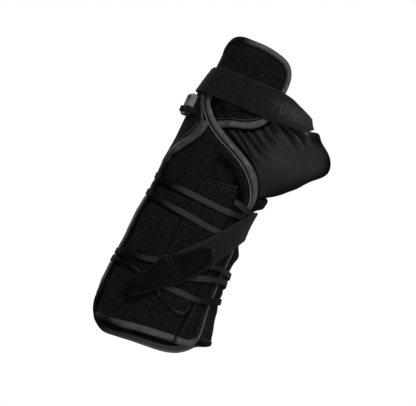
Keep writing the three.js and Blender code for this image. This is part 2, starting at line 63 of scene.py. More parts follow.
# z, little-finger side x, thumb side x, back y, palm y
FORM = [
    (-6, -42.0, 47.0, -35.5, 36.0), (8, -42.2, 46.4, -36.0, 36.0), (20, -44.1, 44.2, -36.0, 36.0),
    (34, -45.6, 40.6, -35.8, 35.8), (48, -45.0, 37.6, -35.2, 35.2), (70, -43.0, 35.4, -33.8, 33.8),
    (95, -41.9, 33.4, -31.2, 31.2), (110, -40.2, 32.2, -29.4, 29.4), (122, -39.0, 33.0, -28.4, 28.4),
    (140, -38.6, 36.0, -27.2, 27.2), (160, -36.8, 40.0, -26.8, 25.4), (180, -36.0, 42.4, -27.6, 22.4),
    (198, -35.2, 44.2, -29.4, 18.8), (213, -32.6, 45.0, -31.2, 15.2), (228, -32.2, 44.0, -33.2, 12.0),
    (250, -32.0, 41.0, -36.2, 7.0),
]
# left th, left z, right th, right z
FOREARM = [
    (-183, 12.5, -50.5, 17.4), (-183, 18, -46, 22), (-183, 32, -42, 33), (-183, 50, -38.5, 50), (-183, 72, -35, 72),
    (-183, 95, -28.5, 94), (-183, 115, -26.5, 114), (-183, 132, -30, 132), (-180, 146, -41.4, 142.4),
    (-172, 157, -59.4, 152.7), (-163, 167, -82.4, 161.8), (-158, 176, -105, 169), (-156, 183, -124, 176.6),
    (-157, 189, -138, 184.2), (-160, 194, -149, 191),
]
FOREARM_HEM = [(-183, 10.8), (-150, 10.2), (-132.5, 10.8), (-119, 11.9), (-106, 13.2), (-94, 14.3), (-82, 15.2), (-70, 16.1), (-60, 16.4), (-50.5, 17.4)]
BACK = [
    (-46, 24, 188.5, 25.5), (-44, 45, 189, 43), (-41, 70, 189, 66), (-36, 92, 189, 88), (-33, 108, 189, 104),
    (-33, 121, 189, 115), (-28, 129.5, 189, 123), (-17, 136.5, 189, 130), (-4, 144.5, 189, 136), (18, 146, 189.4, 142),
    (38, 146, 192, 147.4), (52, 147, 198, 152.6), (63, 155, 206, 158), (72, 165, 214, 163), (79, 176, 219, 169),
    (84, 189, 221.5, 176.5), (87, 202, 213, 186), (88, 213, 200, 199),
]
BACK_HEM = [(-46, 24), (0, 24.6), (20, 24.2), (32, 23.2), (40, 21.8), (46, 19.4), (52, 16.2), (62, 12.4), (77, 9.6), (98, 8.1), (122, 6.6), (143, 5), (154, 7), (164, 12), (172, 19.5), (179, 24), (188.5, 25.5)]
BACK_TOP = [(88, 213), (112, 215.5), (140, 212), (165, 206), (200, 199)]
BACK_LIFT = [(-60, UNDER), (-18, UNDER), (0, 0), (146, 0), (172, OVER), (250, OVER)]
# beside the thumb the back panel stands off further: its rim from z, full at z, height, until z, drawn in at z, to height; slack at z, spread, height
RIM, SLACK = (131.5, 138.5, 4.5, 141.5, 146.5, 3.6), (92.8, 5.8, 3.2)
HAND = [
    (-124, 181.5, -77.5, 195.5), (-134, 188.8, -75.8, 201), (-144, 195.5, -75, 207), (-157, 201.5, -74.8, 213),
    (-174, 207.5, -74.5, 219), (-196, 212, -73.2, 225), (-207, 216, -73, 229.5), (-211, 221, -74, 234), (-211, 226, -77.8, 238.4),
]
HAND_LOW = [(-124, 181.5), (-119, 182.7), (-107.6, 185.5), (-96.8, 187.2), (-86.7, 190), (-81.8, 192.6), (-77.5, 195.5)]
HAND_TOP = [(-211, 226), (-196, 229), (-180, 232.4), (-164, 239), (-154, 242.6), (-142, 244.3), (-131, 244), (-121, 243.7), (-109, 243.4), (-97, 242.2), (-86, 240.5), (-77.8, 238.4)]
S_EDGE = [(-215, 202), (-160, 202), (-147, 199.5), (-141.6, 197.9), (-135, 192.4), (-129, 187.6), (-122, 182.4), (-113, 176.8), (-97, 170.5), (-82, 165.4), (-66, 160.7), (-47, 153.6), (-30, 143.7), (-21, 133)]
# th, z where the thumb sleeve leaves the hand, and the angle on its end ring
SLEEVE_BASE = [
    (-14, 139, -90), (-27, 138, -78), (-36.6, 145.3, -64), (-51.2, 153.3, -49), (-70.2, 161.3, -34), (-91, 167.2, -20), (-110, 173.2, -6),
    (-112, 176.6, 2), (-103, 179, 10), (-94, 184, 18), (-84, 189, 28), (-75, 197, 40), (-62, 203, 56), (-44, 205, 70),
    (-20, 205.5, 84), (5, 205, 98), (30, 205, 114), (55, 206, 132), (80, 206, 150), (94, 200, 166), (92, 186, 184),
    (88, 171, 202), (78, 159, 218), (62, 147, 234), (42, 139, 248), (20, 136.6, 258), (2, 139, 264),
]
STAY = [
    (-74, 31.5, -66, 32), (-84, 35.5, -61, 35.5), (-97.5, 41.5, -57.5, 44), (-100, 60, -57.8, 62), (-102, 82, -55, 84),
    (-101.5, 105, -52, 106), (-101.5, 122, -55.5, 122), (-101.5, 131, -59, 133), (-98, 136.5, -62, 141),
]
# th, z, offset
UPPER_LACE = [
    (-58, 128.8, 4.4), (-41.5, 127.3, 4.4), (-25, 127.2, 4.2), (2, 127.6, 3.1), (60, 128, 3.05), (138, 128, 3.05),
    (170, 127.6, 6.9), (203, 124, 6.9), (216, 122, 4.4), (240, 120.6, 4.4), (266, 119.2, 4.4), (291, 118.7, 4.4),
    (321, 120.4, 4.4), (335, 120.8, 4.2), (362, 120.4, 3.1), (420, 118, 3.05), (498, 114.6, 3.05), (530, 113, 6.9),
    (563, 109.4, 6.9), (576, 108, 4.4), (603, 105.1, 4.4), (625.5, 103.1, 4.4), (647.5, 101.3, 4.4), (668, 101.4, 4.4),
]
LOWER_LACE = [
    (-66, 72.5, 4.4), (-51, 75.4, 4.4), (-36.6, 76.2, 4.4), (-19, 76.2, 4.0), (4, 76, 4.2), (30, 74.2, 4.2), (60, 72, 3.05), (138, 63.8, 3.05),
    (170, 60.8, 6.9), (203, 59.2, 6.9), (216, 60, 4.4), (237, 60.8, 4.4), (252, 62.4, 4.4), (272, 61.4, 4.4), (290, 60.8, 4.4),
    (305, 64.4, 4.4), (318, 66.8, 4.4), (338, 69, 4.0), (364, 68.6, 3.1), (420, 64, 3.05), (498, 56.2, 3.05),
    (530, 53.7, 6.9), (563, 53.4, 6.9), (576, 52.6, 4.4), (586, 52, 4.4), (598.5, 50.4, 4.4), (616, 47.6, 4.4), (633, 47, 4.4),
    (660, 46.8, 4.4), (674, 48.7, 4.4), (693.5, 52.8, 4.2), (724, 55.5, 3.1), (770, 55.5, 3.05), (812, 52, 3.05),
]
# upper th, z, lower th, z, offset
PULL_STRAP = [
    (-92, 74.2, -75, 56.8, 5.7), (-88.8, 76.9, -71.9, 59.4, 5.7), (-73.8, 88.7, -57, 72.4, 5.7), (-56.7, 102.5, -41, 87, 5.7),
    (-39.2, 117.1, -21.8, 100.8, 5.7), (-19.4, 129.4, 0, 107, 5.2), (2, 131.2, 16, 107.5, 4.4), (30, 131, 34, 107, 4.4), (74, 129.5, 74, 106, 4.4),
]
PULL_TAB = [
    (-126.4, 37.5, -124.6, 33.4), (-125.9, 41, -119, 30.3), (-120, 46.9, -112.5, 32.3), (-111.4, 54.2, -102.9, 37.7), (-104.6, 65.4, -91.6, 44.8),
    (-97.6, 69.9, -83.5, 50), (-89.4, 73.4, -75, 56.9), (-80.3, 79.6, -67.7, 63.9), (-71.3, 85.3, -60.5, 72), (-65.5, 86.6, -57.5, 77), (-61.8, 85.8, -57.3, 81.5),
]
# th, lower z, upper z, offset at the lower edge, at the upper edge
STRAP_TAIL = [
    (-205, 200.5, 219.5, 5.4, 4.6),
    (-190, 199, 220.2, 6.7, 4.8),
    (-172, 198.2, 220.8, 6.7, 3.8),
    (-158, 198.4, 221.3, 7.0, 3.6),
    (-146, 198.6, 221.5, 6.6, 3.6),
    (-134, 198, 221.5, 4.6, 3.6),
    (-115, 197.7, 220.7, 3.6, 3.6),
    (-97, 197.2, 220.6, 3.6, 3.6),
    (-80, 197.1, 220.4, 3.6, 3.6),
    (-67, 197.3, 220.2, 3.7, 3.7),
]
# lower x, y, z, upper x, y, z
STRAP_WEB = [
    (29.5, -29.5, 198, 29.5, -27.5, 219.4), (36, -26.5, 198.8, 36.5, -18.5, 218.2), (42.5, -23, 199.8, 42.8, -8, 217.4), (48, -18, 201.6, 47.6, 0.5, 216.8),
    (52.4, -8.5, 206.2, 49.4, 10, 217), (53.2, 3.5, 209.6, 46.5, 20.5, 215.6), (49.6, 17, 209.2, 39.5, 28, 210.5), (41.4, 27.8, 202.5, 31, 30, 205.4),
]
STRAP_PALM = [(78, 185.5, 206, 5.4), (98, 180, 202, 3.6), (122, 178.2, 199.4, 3.4), (142, 178.4, 195, 3.8), (168, 180, 189, 7.2)]
# beside the ring: distance from its middle towards the front bar, height off its middle plane
STRAP_END = [(-10.8, -1.6), (-8.4, 0.9), (-6.6, 2.9), (-4.8, 3.15), (-3.0, 1.7), (-2.6, -0.6)]
STRAP_END_Z = (180.2, 184.4)
RING = dict(th=192.8, z=186.7, off=8.7, long=18.0, wide=12.0, bar=2.2, thick=4.8)
RING_LOOP = [(2.6, -0.8), (2.9, 1.6), (4.5, 3.1), (6.7, 2.9), (8.3, 0.4), (9.5, -2.2), (10.8, -4.0)]
LOOP_WIDTH, LOOP_THICK, LOOP_Z = 4.2, 0.8, 182.3
SLEEVE_SWELL = 7.2
# angle on the end ring, spread, how far the end is drawn back
SLEEVE_CUT = [(50, 28, 4.4), (-64, 28, 5.4)]

# ------------------------------------------------------------------ camera
CAM_UP, CAM_ROLL, CAM_FAR, CAM_MM_PX = math.radians(-7.0), math.radians(23.3), 1500.0, 0.78
CAM_TARGET = np.array([0.8, 0.0, 123.0])
CAM_BACK = np.array([0.0, -math.cos(CAM_UP), math.sin(CAM_UP)])
CAM_R = np.array([1.0, 0.0, 0.0])
CAM_U = np.cross(CAM_R, -CAM_BACK)
CAM_AT = CAM_TARGET + CAM_BACK * CAM_FAR
CAM_PX = CAM_FAR / CAM_MM_PX


def picture(p):
    """Where points of the form's frame fall in a 416 by 406 picture; used to place folds."""
    d = np.asarray(p, float) - CAM_AT
    x, u, w = d @ CAM_R, d @ CAM_U, d @ -CAM_BACK
    s = CAM_PX / w
    c, n = math.cos(CAM_ROLL), math.sin(CAM_ROLL)
    return np.stack([208 + s * (x * c + u * n), 203 + s * (x * n - u * c)], -1)


# ------------------------------------------------------------------ the form
def smooth(a, b, x):
    t = np.clip((x - a) / (b - a), 0, 1)
    return t * t * (3 - 2 * t)


def along(rows, c, x):
    rows = np.asarray(rows, float)
    X, V = rows[:, 0], rows[:, c]
    m = np.empty(len(X))
    m[0], m[-1] = (V[1] - V[0]) / (X[1] - X[0]), (V[-1] - V[-2]) / (X[-1] - X[-2])
    m[1:-1] = (V[2:] - V[:-2]) / (X[2:] - X[:-2])
    x = np.clip(x, X[0], X[-1])
    i = np.clip(np.searchsorted(X, x, side="right") - 1, 0, len(X) - 2)
    h = X[i + 1] - X[i]
    t = (x - X[i]) / h
    return ((2 * t**3 - 3 * t**2 + 1) * V[i] + (t**3 - 2 * t**2 + t) * h * m[i]
            + (3 * t**2 - 2 * t**3) * V[i + 1] + (t**3 - t**2) * h * m[i + 1])


def row(rows, s):
    rows = np.asarray(rows, float)
    k = np.column_stack([np.arange(len(rows)), rows])
    return np.stack([along(k, c + 1, np.asarray(s, float) * (len(rows) - 1)) for c in range(rows.shape[1])], -1)


def steps(rows, x):
    rows, x = np.asarray(rows, float), np.asarray(x, float)
    X, V = rows[:, 0], rows[:, 1]
    i = np.clip(np.searchsorted(X, x, side="left") - 1, 0, len(X) - 2)
    t = np.clip((x - X[i]) / (X[i + 1] - X[i]), 0, 1)
    return V[i] + (V[i + 1] - V[i]) * t * t * (3 - 2 * t)


def form_point(th, z):
    th, z = np.broadcast_arrays(np.asarray(th, float), np.asarray(z, float))
    xl, xr, yf, yb = (along(FORM, c, z) for c in (1, 2, 3, 4))
    a = np.radians(th)
    return np.stack([(xl + xr) / 2 + (xr - xl) / 2 * np.cos(a), (yf + yb) / 2 + (yb - yf) / 2 * np.sin(a), z], -1)


def form_slopes(th, z):
    th, z = np.broadcast_arrays(np.asarray(th, float), np.asarray(z, float))
    return ((form_point(th + 0.05, z) - form_point(th - 0.05, z)) / 0.1,
            (form_point(th, z + 0.2) - form_point(th, z - 0.2)) / 0.4)


def form_normal(th, z):
    a, b = form_slopes(th, z)
    return unit(np.cross(a, b))


def skin(th, z, off):
    return form_point(th, z) + form_normal(th, z) * np.broadcast_to(np.asarray(off, float), np.broadcast(th, z).shape)[..., None]


def slide(th, z, step, parts=2):
    for _ in range(parts):
        a, b = form_slopes(th, z)
        aa, ab, bb = (a * a).sum(-1), (a * b).sum(-1), (b * b).sum(-1)
        sa, sb = (a * step).sum(-1) / parts, (b * step).sum(-1) / parts
        det = aa * bb - ab * ab
        th, z = th + (sa * bb - sb * ab) / det, z + (sb * aa - sa * ab) / det
    return th, z


_lattice = {}


def noise(p, size, seed):
    """Smooth noise from -1 to 1 at points p, with lumps of that size in mm."""
    if seed not in _lattice:
        _lattice[seed] = np.random.default_rng(seed).random((24, 24, 24)) * 2 - 1
    g = _lattice[seed]
    q = np.asarray(p, float) / size + 100
    i = np.floor(q).astype(int)
    f = q - i
    f = f * f * (3 - 2 * f)
    out = 0
    for dx in (0, 1):
        for dy in (0, 1):
            for dz in (0, 1):
                w = (f[..., 0] if dx else 1 - f[..., 0]) * (f[..., 1] if dy else 1 - f[..., 1]) * (f[..., 2] if dz else 1 - f[..., 2])
                out = out + w * g[(i[..., 0] + dx) % 24, (i[..., 1] + dy) % 24, (i[..., 2] + dz) % 24]
    return out


def arc(points, axis=0):
    """Length along a grid of points, from its start."""
    d = np.linalg.norm(np.diff(points, axis=axis), axis=-1)
    pad = [(0, 0)] * d.ndim
    pad[axis] = (1, 0)
    return np.pad(np.cumsum(d, axis=axis), pad)


def resample(points, step=None, count=None):
    """Points spaced evenly along a line of rows of any width, by its first three columns."""
    s = arc(points[:, :3])
    n = count or max(2, int(round(s[-1] / step)) + 1)
    at = np.linspace(0, s[-1], n)
    return np.stack([np.interp(at, s, points[:, k]) for k in range(points.shape[1])], -1)


def soften(rows, sigma, keep=True):
    """Gaussian smoothing down the rows of a table, its ends held."""
    r = int(max(1, 3 * sigma))
    k = np.exp(-0.5 * (np.arange(-r, r + 1) / sigma) ** 2)
    k /= k.sum()
    first, last = rows[:1], rows[-1:]
    pad = np.concatenate([2 * first - rows[r:0:-1], rows, 2 * last - rows[-2:-r - 2:-1]])
    out = np.stack([np.convolve(pad[:, c], k, mode="valid") for c in range(rows.shape[1])], -1)
    if keep:
        out[0], out[-1] = rows[0], rows[-1]
    return out


def to_line(points, line):
    """(distance, place from 0 to 1, signed side) of points to a line of points, by its nearest point."""
    flat = points.reshape(-1, points.shape[-1])
    best = np.full(len(flat), 1e9)
    which = np.zeros(len(flat), int)
    for k in range(0, len(flat), 4000):
        d = np.linalg.norm(flat[k:k + 4000, None, :] - line[None], axis=-1)
        which[k:k + 4000] = d.argmin(1)
        best[k:k + 4000] = d.min(1)
    shape = points.shape[:-1]
    return best.reshape(shape), (which / max(1, len(line) - 1)).reshape(shape), which.reshape(shape)


# ------------------------------------------------------------------ meshes
collection = bpy.context.scene.collection


def add_mesh(name, points, faces, uv=None, corner_uv=None, values=None):
    """A piece from points in the form's mm and lists of faces. Faces are turned to point out."""
    points = np.asarray(points, float)
    volume = 0.0
    for f in faces:
        for k in range(1, f.shape[1] - 1):
            volume += (points[f[:, 0]] * np.cross(points[f[:, k]], points[f[:, k + 1]])).sum()
    if volume < 0:
        if corner_uv is not None:
            cut, at = [], 0
            for f in faces:
                n = f.size
                cut.append(corner_uv[at:at + n].reshape(len(f), f.shape[1], 2)[:, ::-1].reshape(-1, 2))
                at += n
            corner_uv = np.concatenate(cut)
        faces = [f[:, ::-1] for f in faces]
    me = bpy.data.meshes.new(name)
    co = ((points + SHIFT) * MM).astype(np.float32)
    me.vertices.add(len(co))
    me.vertices.foreach_set("co", co.ravel())
    corners = np.concatenate([f.ravel() for f in faces]).astype(np.int32)
    sizes = np.concatenate([np.full(len(f), f.shape[1]) for f in faces])
    me.loops.add(len(corners))
    me.loops.foreach_set("vertex_index", corners)
    me.polygons.add(len(sizes))
    me.polygons.foreach_set("loop_start", np.concatenate([[0], np.cumsum(sizes)[:-1]]).astype(np.int32))
    me.update(calc_edges=True)
    me.polygons.foreach_set("use_smooth", np.ones(len(sizes), bool))
    if uv is not None:
        corner_uv = uv[corners]
    if corner_uv is not None:
        me.uv_layers.new(name="UVMap").data.foreach_set("uv", corner_uv.astype(np.float32).ravel())
    for key, v in (values or {}).items():
        me.attributes.new(key, "FLOAT", "POINT").data.foreach_set("value", np.asarray(v, np.float32).ravel())
    me.validate()
    obj = bpy.data.objects.new(name, me)
    collection.objects.link(obj)
    return obj


def shell(name, outer, inner, ring=False, bulge=0.3, values=None):
    """A closed wall between two grids [j][i], with a rounded rim. With ring, i closes on itself."""
    nv, nu, _ = outer.shape
    grid = np.arange(nv * nu).reshape(nv, nu)
    base = nv * nu

    def net(g):
        h = np.concatenate([g, g[:, :1]], 1) if ring else g
        return np.stack([h[:-1, :-1], h[:-1, 1:], h[1:, 1:], h[1:, :-1]], -1).reshape(-1, 4)

    faces = [net(grid), net(grid + base)[:, ::-1]]
    if ring:
        loops = [(grid[0], grid[1], True), (grid[-1], grid[-2], True)]
    else:
        edge = np.concatenate([grid[0], grid[1:, -1], grid[-1, :-1][::-1], grid[1:-1, 0][::-1]])
        next_in = np.concatenate([grid[1], grid[1:, -2], grid[-2, :-1][::-1], grid[1:-1, 1][::-1]])
        loops = [(edge, next_in, False)]
    points = [outer.reshape(-1, 3), inner.reshape(-1, 3)]
    both = np.concatenate(points)
    count = len(both)
    s_u, s_v = arc(outer, 1), arc(outer, 0)
    uv = np.stack([s_u, s_v], -1).reshape(-1, 2) * MM
    uvs = [uv, uv]
    vals = {k: [np.asarray(v).ravel(), np.asarray(v).ravel()] for k, v in (values or {}).items()}
    for number, (edge, next_in, _) in enumerate(loops):
        a, b = both[edge], both[edge + base]
        away = a + b - both[next_in] - both[next_in + base]
        thick = np.linalg.norm(a - b, axis=-1, keepdims=True)
        mid = (a + b) / 2 + unit(away + 1e-9) * thick * bulge
        m = count + np.arange(len(edge))
        count += len(edge)
        points.append(mid)
        uvs.append(uv[edge])
        for k in vals:
            vals[k].append(vals[k][0][edge])
        turn = lambda x: np.roll(x, -1)
        f1 = np.stack([edge, m, turn(m), turn(edge)], -1)
        f2 = np.stack([m, edge + base, turn(edge + base), turn(m)], -1)
        if ring and number == 1:
            f1, f2 = f1[:, ::-1], f2[:, ::-1]
        faces += [f1, f2]
    return add_mesh(name, np.concatenate(points), faces, uv=np.concatenate(uvs),
                    values={k: np.concatenate(v) for k, v in vals.items()})


def strip(name, sections, values=None):
    """A closed strip from its cross-sections [k][point], capped at both ends."""
    n, m, _ = sections.shape
    idx = np.arange(n * m).reshape(n, m)
    nxt = np.roll(idx, -1, axis=1)
    quads = np.stack([idx[:-1], nxt[:-1], nxt[1:], idx[1:]], -1).reshape(-1, 4)
    across = arc(np.concatenate([sections, sections[:, :1]], 1), 1)
    run = np.broadcast_to(arc(sections.mean(1))[:, None], across.shape)
    uv = np.stack([across, run], -1) * MM
    cuv = np.stack([uv[:-1, :-1], uv[:-1, 1:], uv[1:, 1:], uv[1:, :-1]], 2).reshape(-1, 2)
    caps = np.stack([idx[0][::-1], idx[-1]])
    cuv = np.concatenate([cuv, uv[0, :m][::-1], uv[-1, :m]])
    return add_mesh(name, sections.reshape(-1, 3), [quads, caps], corner_uv=cuv, values=values)


def joined(name, blocks, values=None):
    """One piece from many (points, faces) blocks."""
    points, faces, at = [], [], 0
    for p, fs in blocks:
        points.append(p)
        faces += [f + at for f in fs]
        at += len(p)
    sizes = sorted({f.shape[1] for f in faces})
    faces = [np.concatenate([f for f in faces if f.shape[1] == k]) for k in sizes]
    return add_mesh(name, np.concatenate(points), faces)


def frame_of(path, normals):
    run = unit(np.gradient(path, axis=0))
    side = unit(np.cross(run, normals))
    return run, side, np.cross(side, run)


def tube(path, normals, radius, sides=6):
    run, side, up = frame_of(path, normals)
    a = np.arange(sides) / sides * 2 * math.pi
    r = np.broadcast_to(np.asarray(radius, float), (len(path),))[:, None, None]
    ring = path[:, None] + r * (np.cos(a)[None, :, None] * side[:, None] + np.sin(a)[None, :, None] * up[:, None])
    n, m = len(path), sides
    idx = np.arange(n * m).reshape(n, m)
    nxt = np.roll(idx, -1, axis=1)
    return ring.reshape(-1, 3), [np.stack([idx[:-1], nxt[:-1], nxt[1:], idx[1:]], -1).reshape(-1, 4), np.stack([idx[0][::-1], idx[-1]])]


def dashes(path, normals, pitch=3.0, length=2.1, radius=0.26, sink=0.2, wander=0.0, seed=1):
    """Stitches along a line: short threads that dip into the cloth at both ends."""
    table = resample(np.column_stack([path, normals]), step=0.35)
    s = arc(table[:, :3])
    rng = np.random.default_rng(seed)
    out = []
    for start in np.arange(0.3 * pitch, s[-1] - length, pitch):
        t = start + length * np.array([0, 0.12, 0.35, 0.65, 0.88, 1.0]) * (1 + 0.08 * rng.standard_normal())
        q = np.stack([np.interp(t, s, table[:, k]) for k in range(6)], -1)
        p, nrm = q[:, :3], unit(q[:, 3:])
        lift = np.array([-1, 0.2, 1, 1, 0.2, -1]) * sink
        side = unit(np.cross(unit(np.gradient(p, axis=0)), nrm))
        p = p + nrm * lift[:, None] + side * (wander * rng.standard_normal())
        out.append(tube(p, nrm, radius * np.array([0.45, 0.9, 1, 1, 0.9, 0.45]), 6))
    return out


def catmull(points, count):
    """Centripetal Catmull-Rom through points, evenly by point number."""
    p = np.asarray(points, float)
    l = len(p)
    out = []
    for t in np.linspace(0, 1, count + 1) * (l - 1):
        i = min(int(t), l - 2)
        w = t - i
        p1, p2 = p[i], p[i + 1]
        p0 = p[i - 1] if i > 0 else 2 * p[0] - p[1]
        p3 = p[i + 2] if i + 2 < l else 2 * p[-1] - p[-2]
        d0, d1, d2 = (max(1e-6, ((b - a) ** 2).sum()) ** 0.25 for a, b in ((p0, p1), (p1, p2), (p2, p3)))
        t1 = ((p1 - p0) / d0 - (p2 - p0) / (d0 + d1) + (p2 - p1) / d1) * d1
        t2 = ((p2 - p1) / d1 - (p3 - p1) / (d1 + d2) + (p3 - p2) / d2) * d1
        out.append(p1 + t1 * w + (-3 * p1 + 3 * p2 - 2 * t1 - t2) * w**2 + (2 * p1 - 2 * p2 + t1 + t2) * w**3)
    return np.array(out)


# ------------------------------------------------------------------ materials
class Mat:
    """A node material on one Principled shader."""

    def __init__(self, name, **sockets):
        self.mat = bpy.data.materials.new(name)
        self.mat.use_nodes = True
        self.tree = self.mat.node_tree
        self.tree.nodes.clear()
        self.out = self.tree.nodes.new("ShaderNodeOutputMaterial")
        self.shader = self.tree.nodes.new("ShaderNodeBsdfPrincipled")
        self.link(self.shader.outputs[0], self.out.inputs["Surface"])
        for k, v in sockets.items():
            self.shader.inputs[k.replace("_", " ")].default_value = v
        self.coord = self.tree.nodes.new("ShaderNodeTexCoord")

    def link(self, a, b):
        self.tree.links.new(a, b)

    def put(self, socket, value):
        if isinstance(value, bpy.types.NodeSocket):
            self.link(value, socket)
        else:
            socket.default_value = value

    def mapped(self, scale, kind="Object", turn=(0, 0, 0)):
        m = self.tree.nodes.new("ShaderNodeMapping")
        m.inputs["Scale"].default_value = scale
        m.inputs["Rotation"].default_value = turn
        self.link(self.coord.outputs[kind], m.inputs["Vector"])
        return m.outputs[0]

    def noise(self, scale, detail=3.0, rough=0.6, vector=None, distortion=0.0):
        n = self.tree.nodes.new("ShaderNodeTexNoise")
        self.put(n.inputs["Vector"], vector or self.coord.outputs["Object"])
        n.inputs["Scale"].default_value = scale
        n.inputs["Detail"].default_value = detail
        n.inputs["Roughness"].default_value = rough
        n.inputs["Distortion"].default_value = distortion
        return n.outputs[0]

    def voronoi(self, scale, vector=None):
        n = self.tree.nodes.new("ShaderNodeTexVoronoi")
        self.put(n.inputs["Vector"], vector or self.coord.outputs["Object"])
        n.inputs["Scale"].default_value = scale
        return n.outputs["Distance"]

    def wave(self, scale, vector, direction="X", distortion=0.0):
        n = self.tree.nodes.new("ShaderNodeTexWave")
        n.wave_type, n.bands_direction, n.wave_profile = "BANDS", direction, "SIN"
        self.put(n.inputs["Vector"], vector)
        n.inputs["Scale"].default_value = scale
        n.inputs["Distortion"].default_value = distortion
        n.inputs["Detail"].default_value = 1.0
        return n.outputs["Fac"]

    def math(self, op, a, b=0.5):
        n = self.tree.nodes.new("ShaderNodeMath")
        n.operation = op
        self.put(n.inputs[0], a)
        self.put(n.inputs[1], b)
        return n.outputs[0]

    def span(self, value, low, high, a=0.0, b=1.0):
        n = self.tree.nodes.new("ShaderNodeMapRange")
        n.inputs["From Min"].default_value, n.inputs["From Max"].default_value = low, high
        n.inputs["To Min"].default_value, n.inputs["To Max"].default_value = a, b
        self.put(n.inputs["Value"], value)
        return n.outputs[0]

    def mix(self, fac, a, b):
        n = self.tree.nodes.new("ShaderNodeMix")
        n.data_type = "RGBA"
        self.put(n.inputs["Factor"], fac)
        self.put(n.inputs["A"] if False else n.inputs[6], a)
        self.put(n.inputs[7], b)
        return n.outputs[2]

    def attribute(self, name):
        n = self.tree.nodes.new("ShaderNodeAttribute")
        n.attribute_name = name
        return n.outputs["Fac"]

    def bump(self, height, strength, distance, normal=None):
        n = self.tree.nodes.new("ShaderNodeBump")
        n.inputs["Strength"].default_value = strength
        n.inputs["Distance"].default_value = distance
        self.put(n.inputs["Height"], height)
        if normal is not None:
            self.link(normal, n.inputs["Normal"])
        return n.outputs[0]

    def finish(self, colour=None, normal=None, roughness=None):
        if colour is not None:
            self.link(colour, self.shader.inputs["Base Color"])
        if normal is not None:
            self.link(normal, self.shader.inputs["Normal"])
        if roughness is not None:
            self.link(roughness, self.shader.inputs["Roughness"])
        return self.mat


def grey(v, blue=1.03):
    return (v, v, v * blue, 1.0)


def fleece_material():
    m = Mat("black_fleece", Roughness=1.0, Specular_IOR_Level=0.03, Sheen_Weight=0.012, Sheen_Roughness=0.45, Sheen_Tint=grey(0.7))
    pile = m.noise(1150, 3, 0.6, m.mapped((0.42, 0.42, 1.0), turn=(0.0, 0.12, 0.0)), 0.6)
    clump = m.noise(720, 4, 0.65, distortion=0.3)
    fibre = m.noise(1700, 2, 0.6, m.mapped((0.6, 0.6, 1.0)))
    patch = m.noise(55, 2, 0.5)
    fac = m.math("ADD", m.math("MULTIPLY", m.span(pile, 0.32, 0.68), 0.5), m.math("MULTIPLY", m.span(clump, 0.32, 0.68), 0.5))
    fac = m.math("ADD", m.math("MULTIPLY", fac, 0.8), m.math("MULTIPLY", m.span(fibre, 0.3, 0.7), 0.2))
    colour = m.mix(m.span(fac, 0.2, 0.85), grey(0.0003, 1.0), grey(0.0140, 1.0))
    colour = m.mix(m.span(patch, 0.35, 0.65, 0.0, 0.3), colour, grey(0.0028, 1.0))
    # painted shade where the panel is marked dark, with less specular there; the paler marks are partly painted
    # highlight
    colour = m.mix(m.attribute("painted_shade"), colour, grey(0.0008, 1.0))
    m.link(m.span(m.attribute("painted_shade"), 0.2, 1.0, 0.03, 0.010), m.shader.inputs["Specular IOR Level"])
    colour = m.mix(m.math("MULTIPLY", m.attribute("pale"), m.span(fac, 0.1, 0.7, 0.35, 1.0)), colour, grey(0.028, 1.0))
    high = m.math("ADD", m.math("MULTIPLY", pile, 0.7), m.math("ADD", m.math("MULTIPLY", clump, 0.7), m.math("MULTIPLY", fibre, 0.4)))
    return m.finish(colour, m.bump(high, 0.8, 0.0011))


def tape_material():
    m = Mat("edge_tape", Roughness=0.62, Specular_IOR_Level=0.05)
    ribs = m.wave(420, m.mapped((1, 1, 1), "UV"), "Y", 0.6)
    yarn = m.noise(1300, 2, 0.5)
    wear = m.noise(140, 3, 0.6)
    worn = m.noise(300, 4, 0.65, m.mapped((1, 0.35, 1), "UV"))
    fac = m.math("ADD", m.math("MULTIPLY", ribs, 0.2), m.math("ADD", m.math("MULTIPLY", yarn, 0.25), m.math("MULTIPLY", wear, 0.55)))
    colour = m.mix(m.span(fac, 0.32, 0.72), grey(0.034, 1.0), grey(0.084, 1.0))
    colour = m.mix(m.span(worn, 0.56, 0.70), colour, grey(0.120, 1.0))
    # painted shade where the tape is marked dark, with less specular there, and a painted highlight where it is marked
    # lit
    colour = m.mix(m.attribute("painted_dimming"), colour, grey(0.0024, 1.0))
    m.link(m.span(m.attribute("painted_dimming"), 0.3, 1.0, 0.05, 0.024), m.shader.inputs["Specular IOR Level"])
    colour = m.mix(m.math("MULTIPLY", m.attribute("lit"), 0.8), colour, grey(0.170, 1.0))
    high = m.math("ADD", m.math("MULTIPLY", ribs, 0.7), m.math("MULTIPLY", yarn, 0.5))
    return m.finish(colour, m.bump(high, 0.35, 0.0004), m.span(wear, 0.3, 0.7, 0.55, 0.75))


def sleeve_material():
    m = Mat("stretch_cloth", Roughness=0.55, Specular_IOR_Level=0.09)
    knit_a = m.wave(330, m.mapped((1, 1, 1), "UV"), "X")
    knit_b = m.wave(330, m.mapped((1, 1, 1), "UV"), "Y")
    yarn = m.noise(1500, 2, 0.5)
    patch = m.noise(40, 2, 0.5)
    colour = m.mix(m.span(patch, 0.3, 0.7), grey(0.0130, 1.0), grey(0.0170, 1.0))
    colour = m.mix(m.math("MULTIPLY", yarn, 0.35), colour, grey(0.007, 1.0))
    # painted shade where the sleeve is marked dark, with less specular there
    colour = m.mix(m.attribute("painted_shade"), colour, grey(0.0016, 1.0))
    m.link(m.span(m.attribute("painted_shade"), 0.1, 0.95, 0.09, 0.02), m.shader.inputs["Specular IOR Level"])
    high = m.math("ADD", m.math("MULTIPLY", knit_a, 0.5), m.math("ADD", m.math("MULTIPLY", knit_b, 0.5), m.math("MULTIPLY", yarn, 0.5)))
    return m.finish(colour, m.bump(high, 0.18, 0.0003), m.span(patch, 0.3, 0.7, 0.44, 0.56))


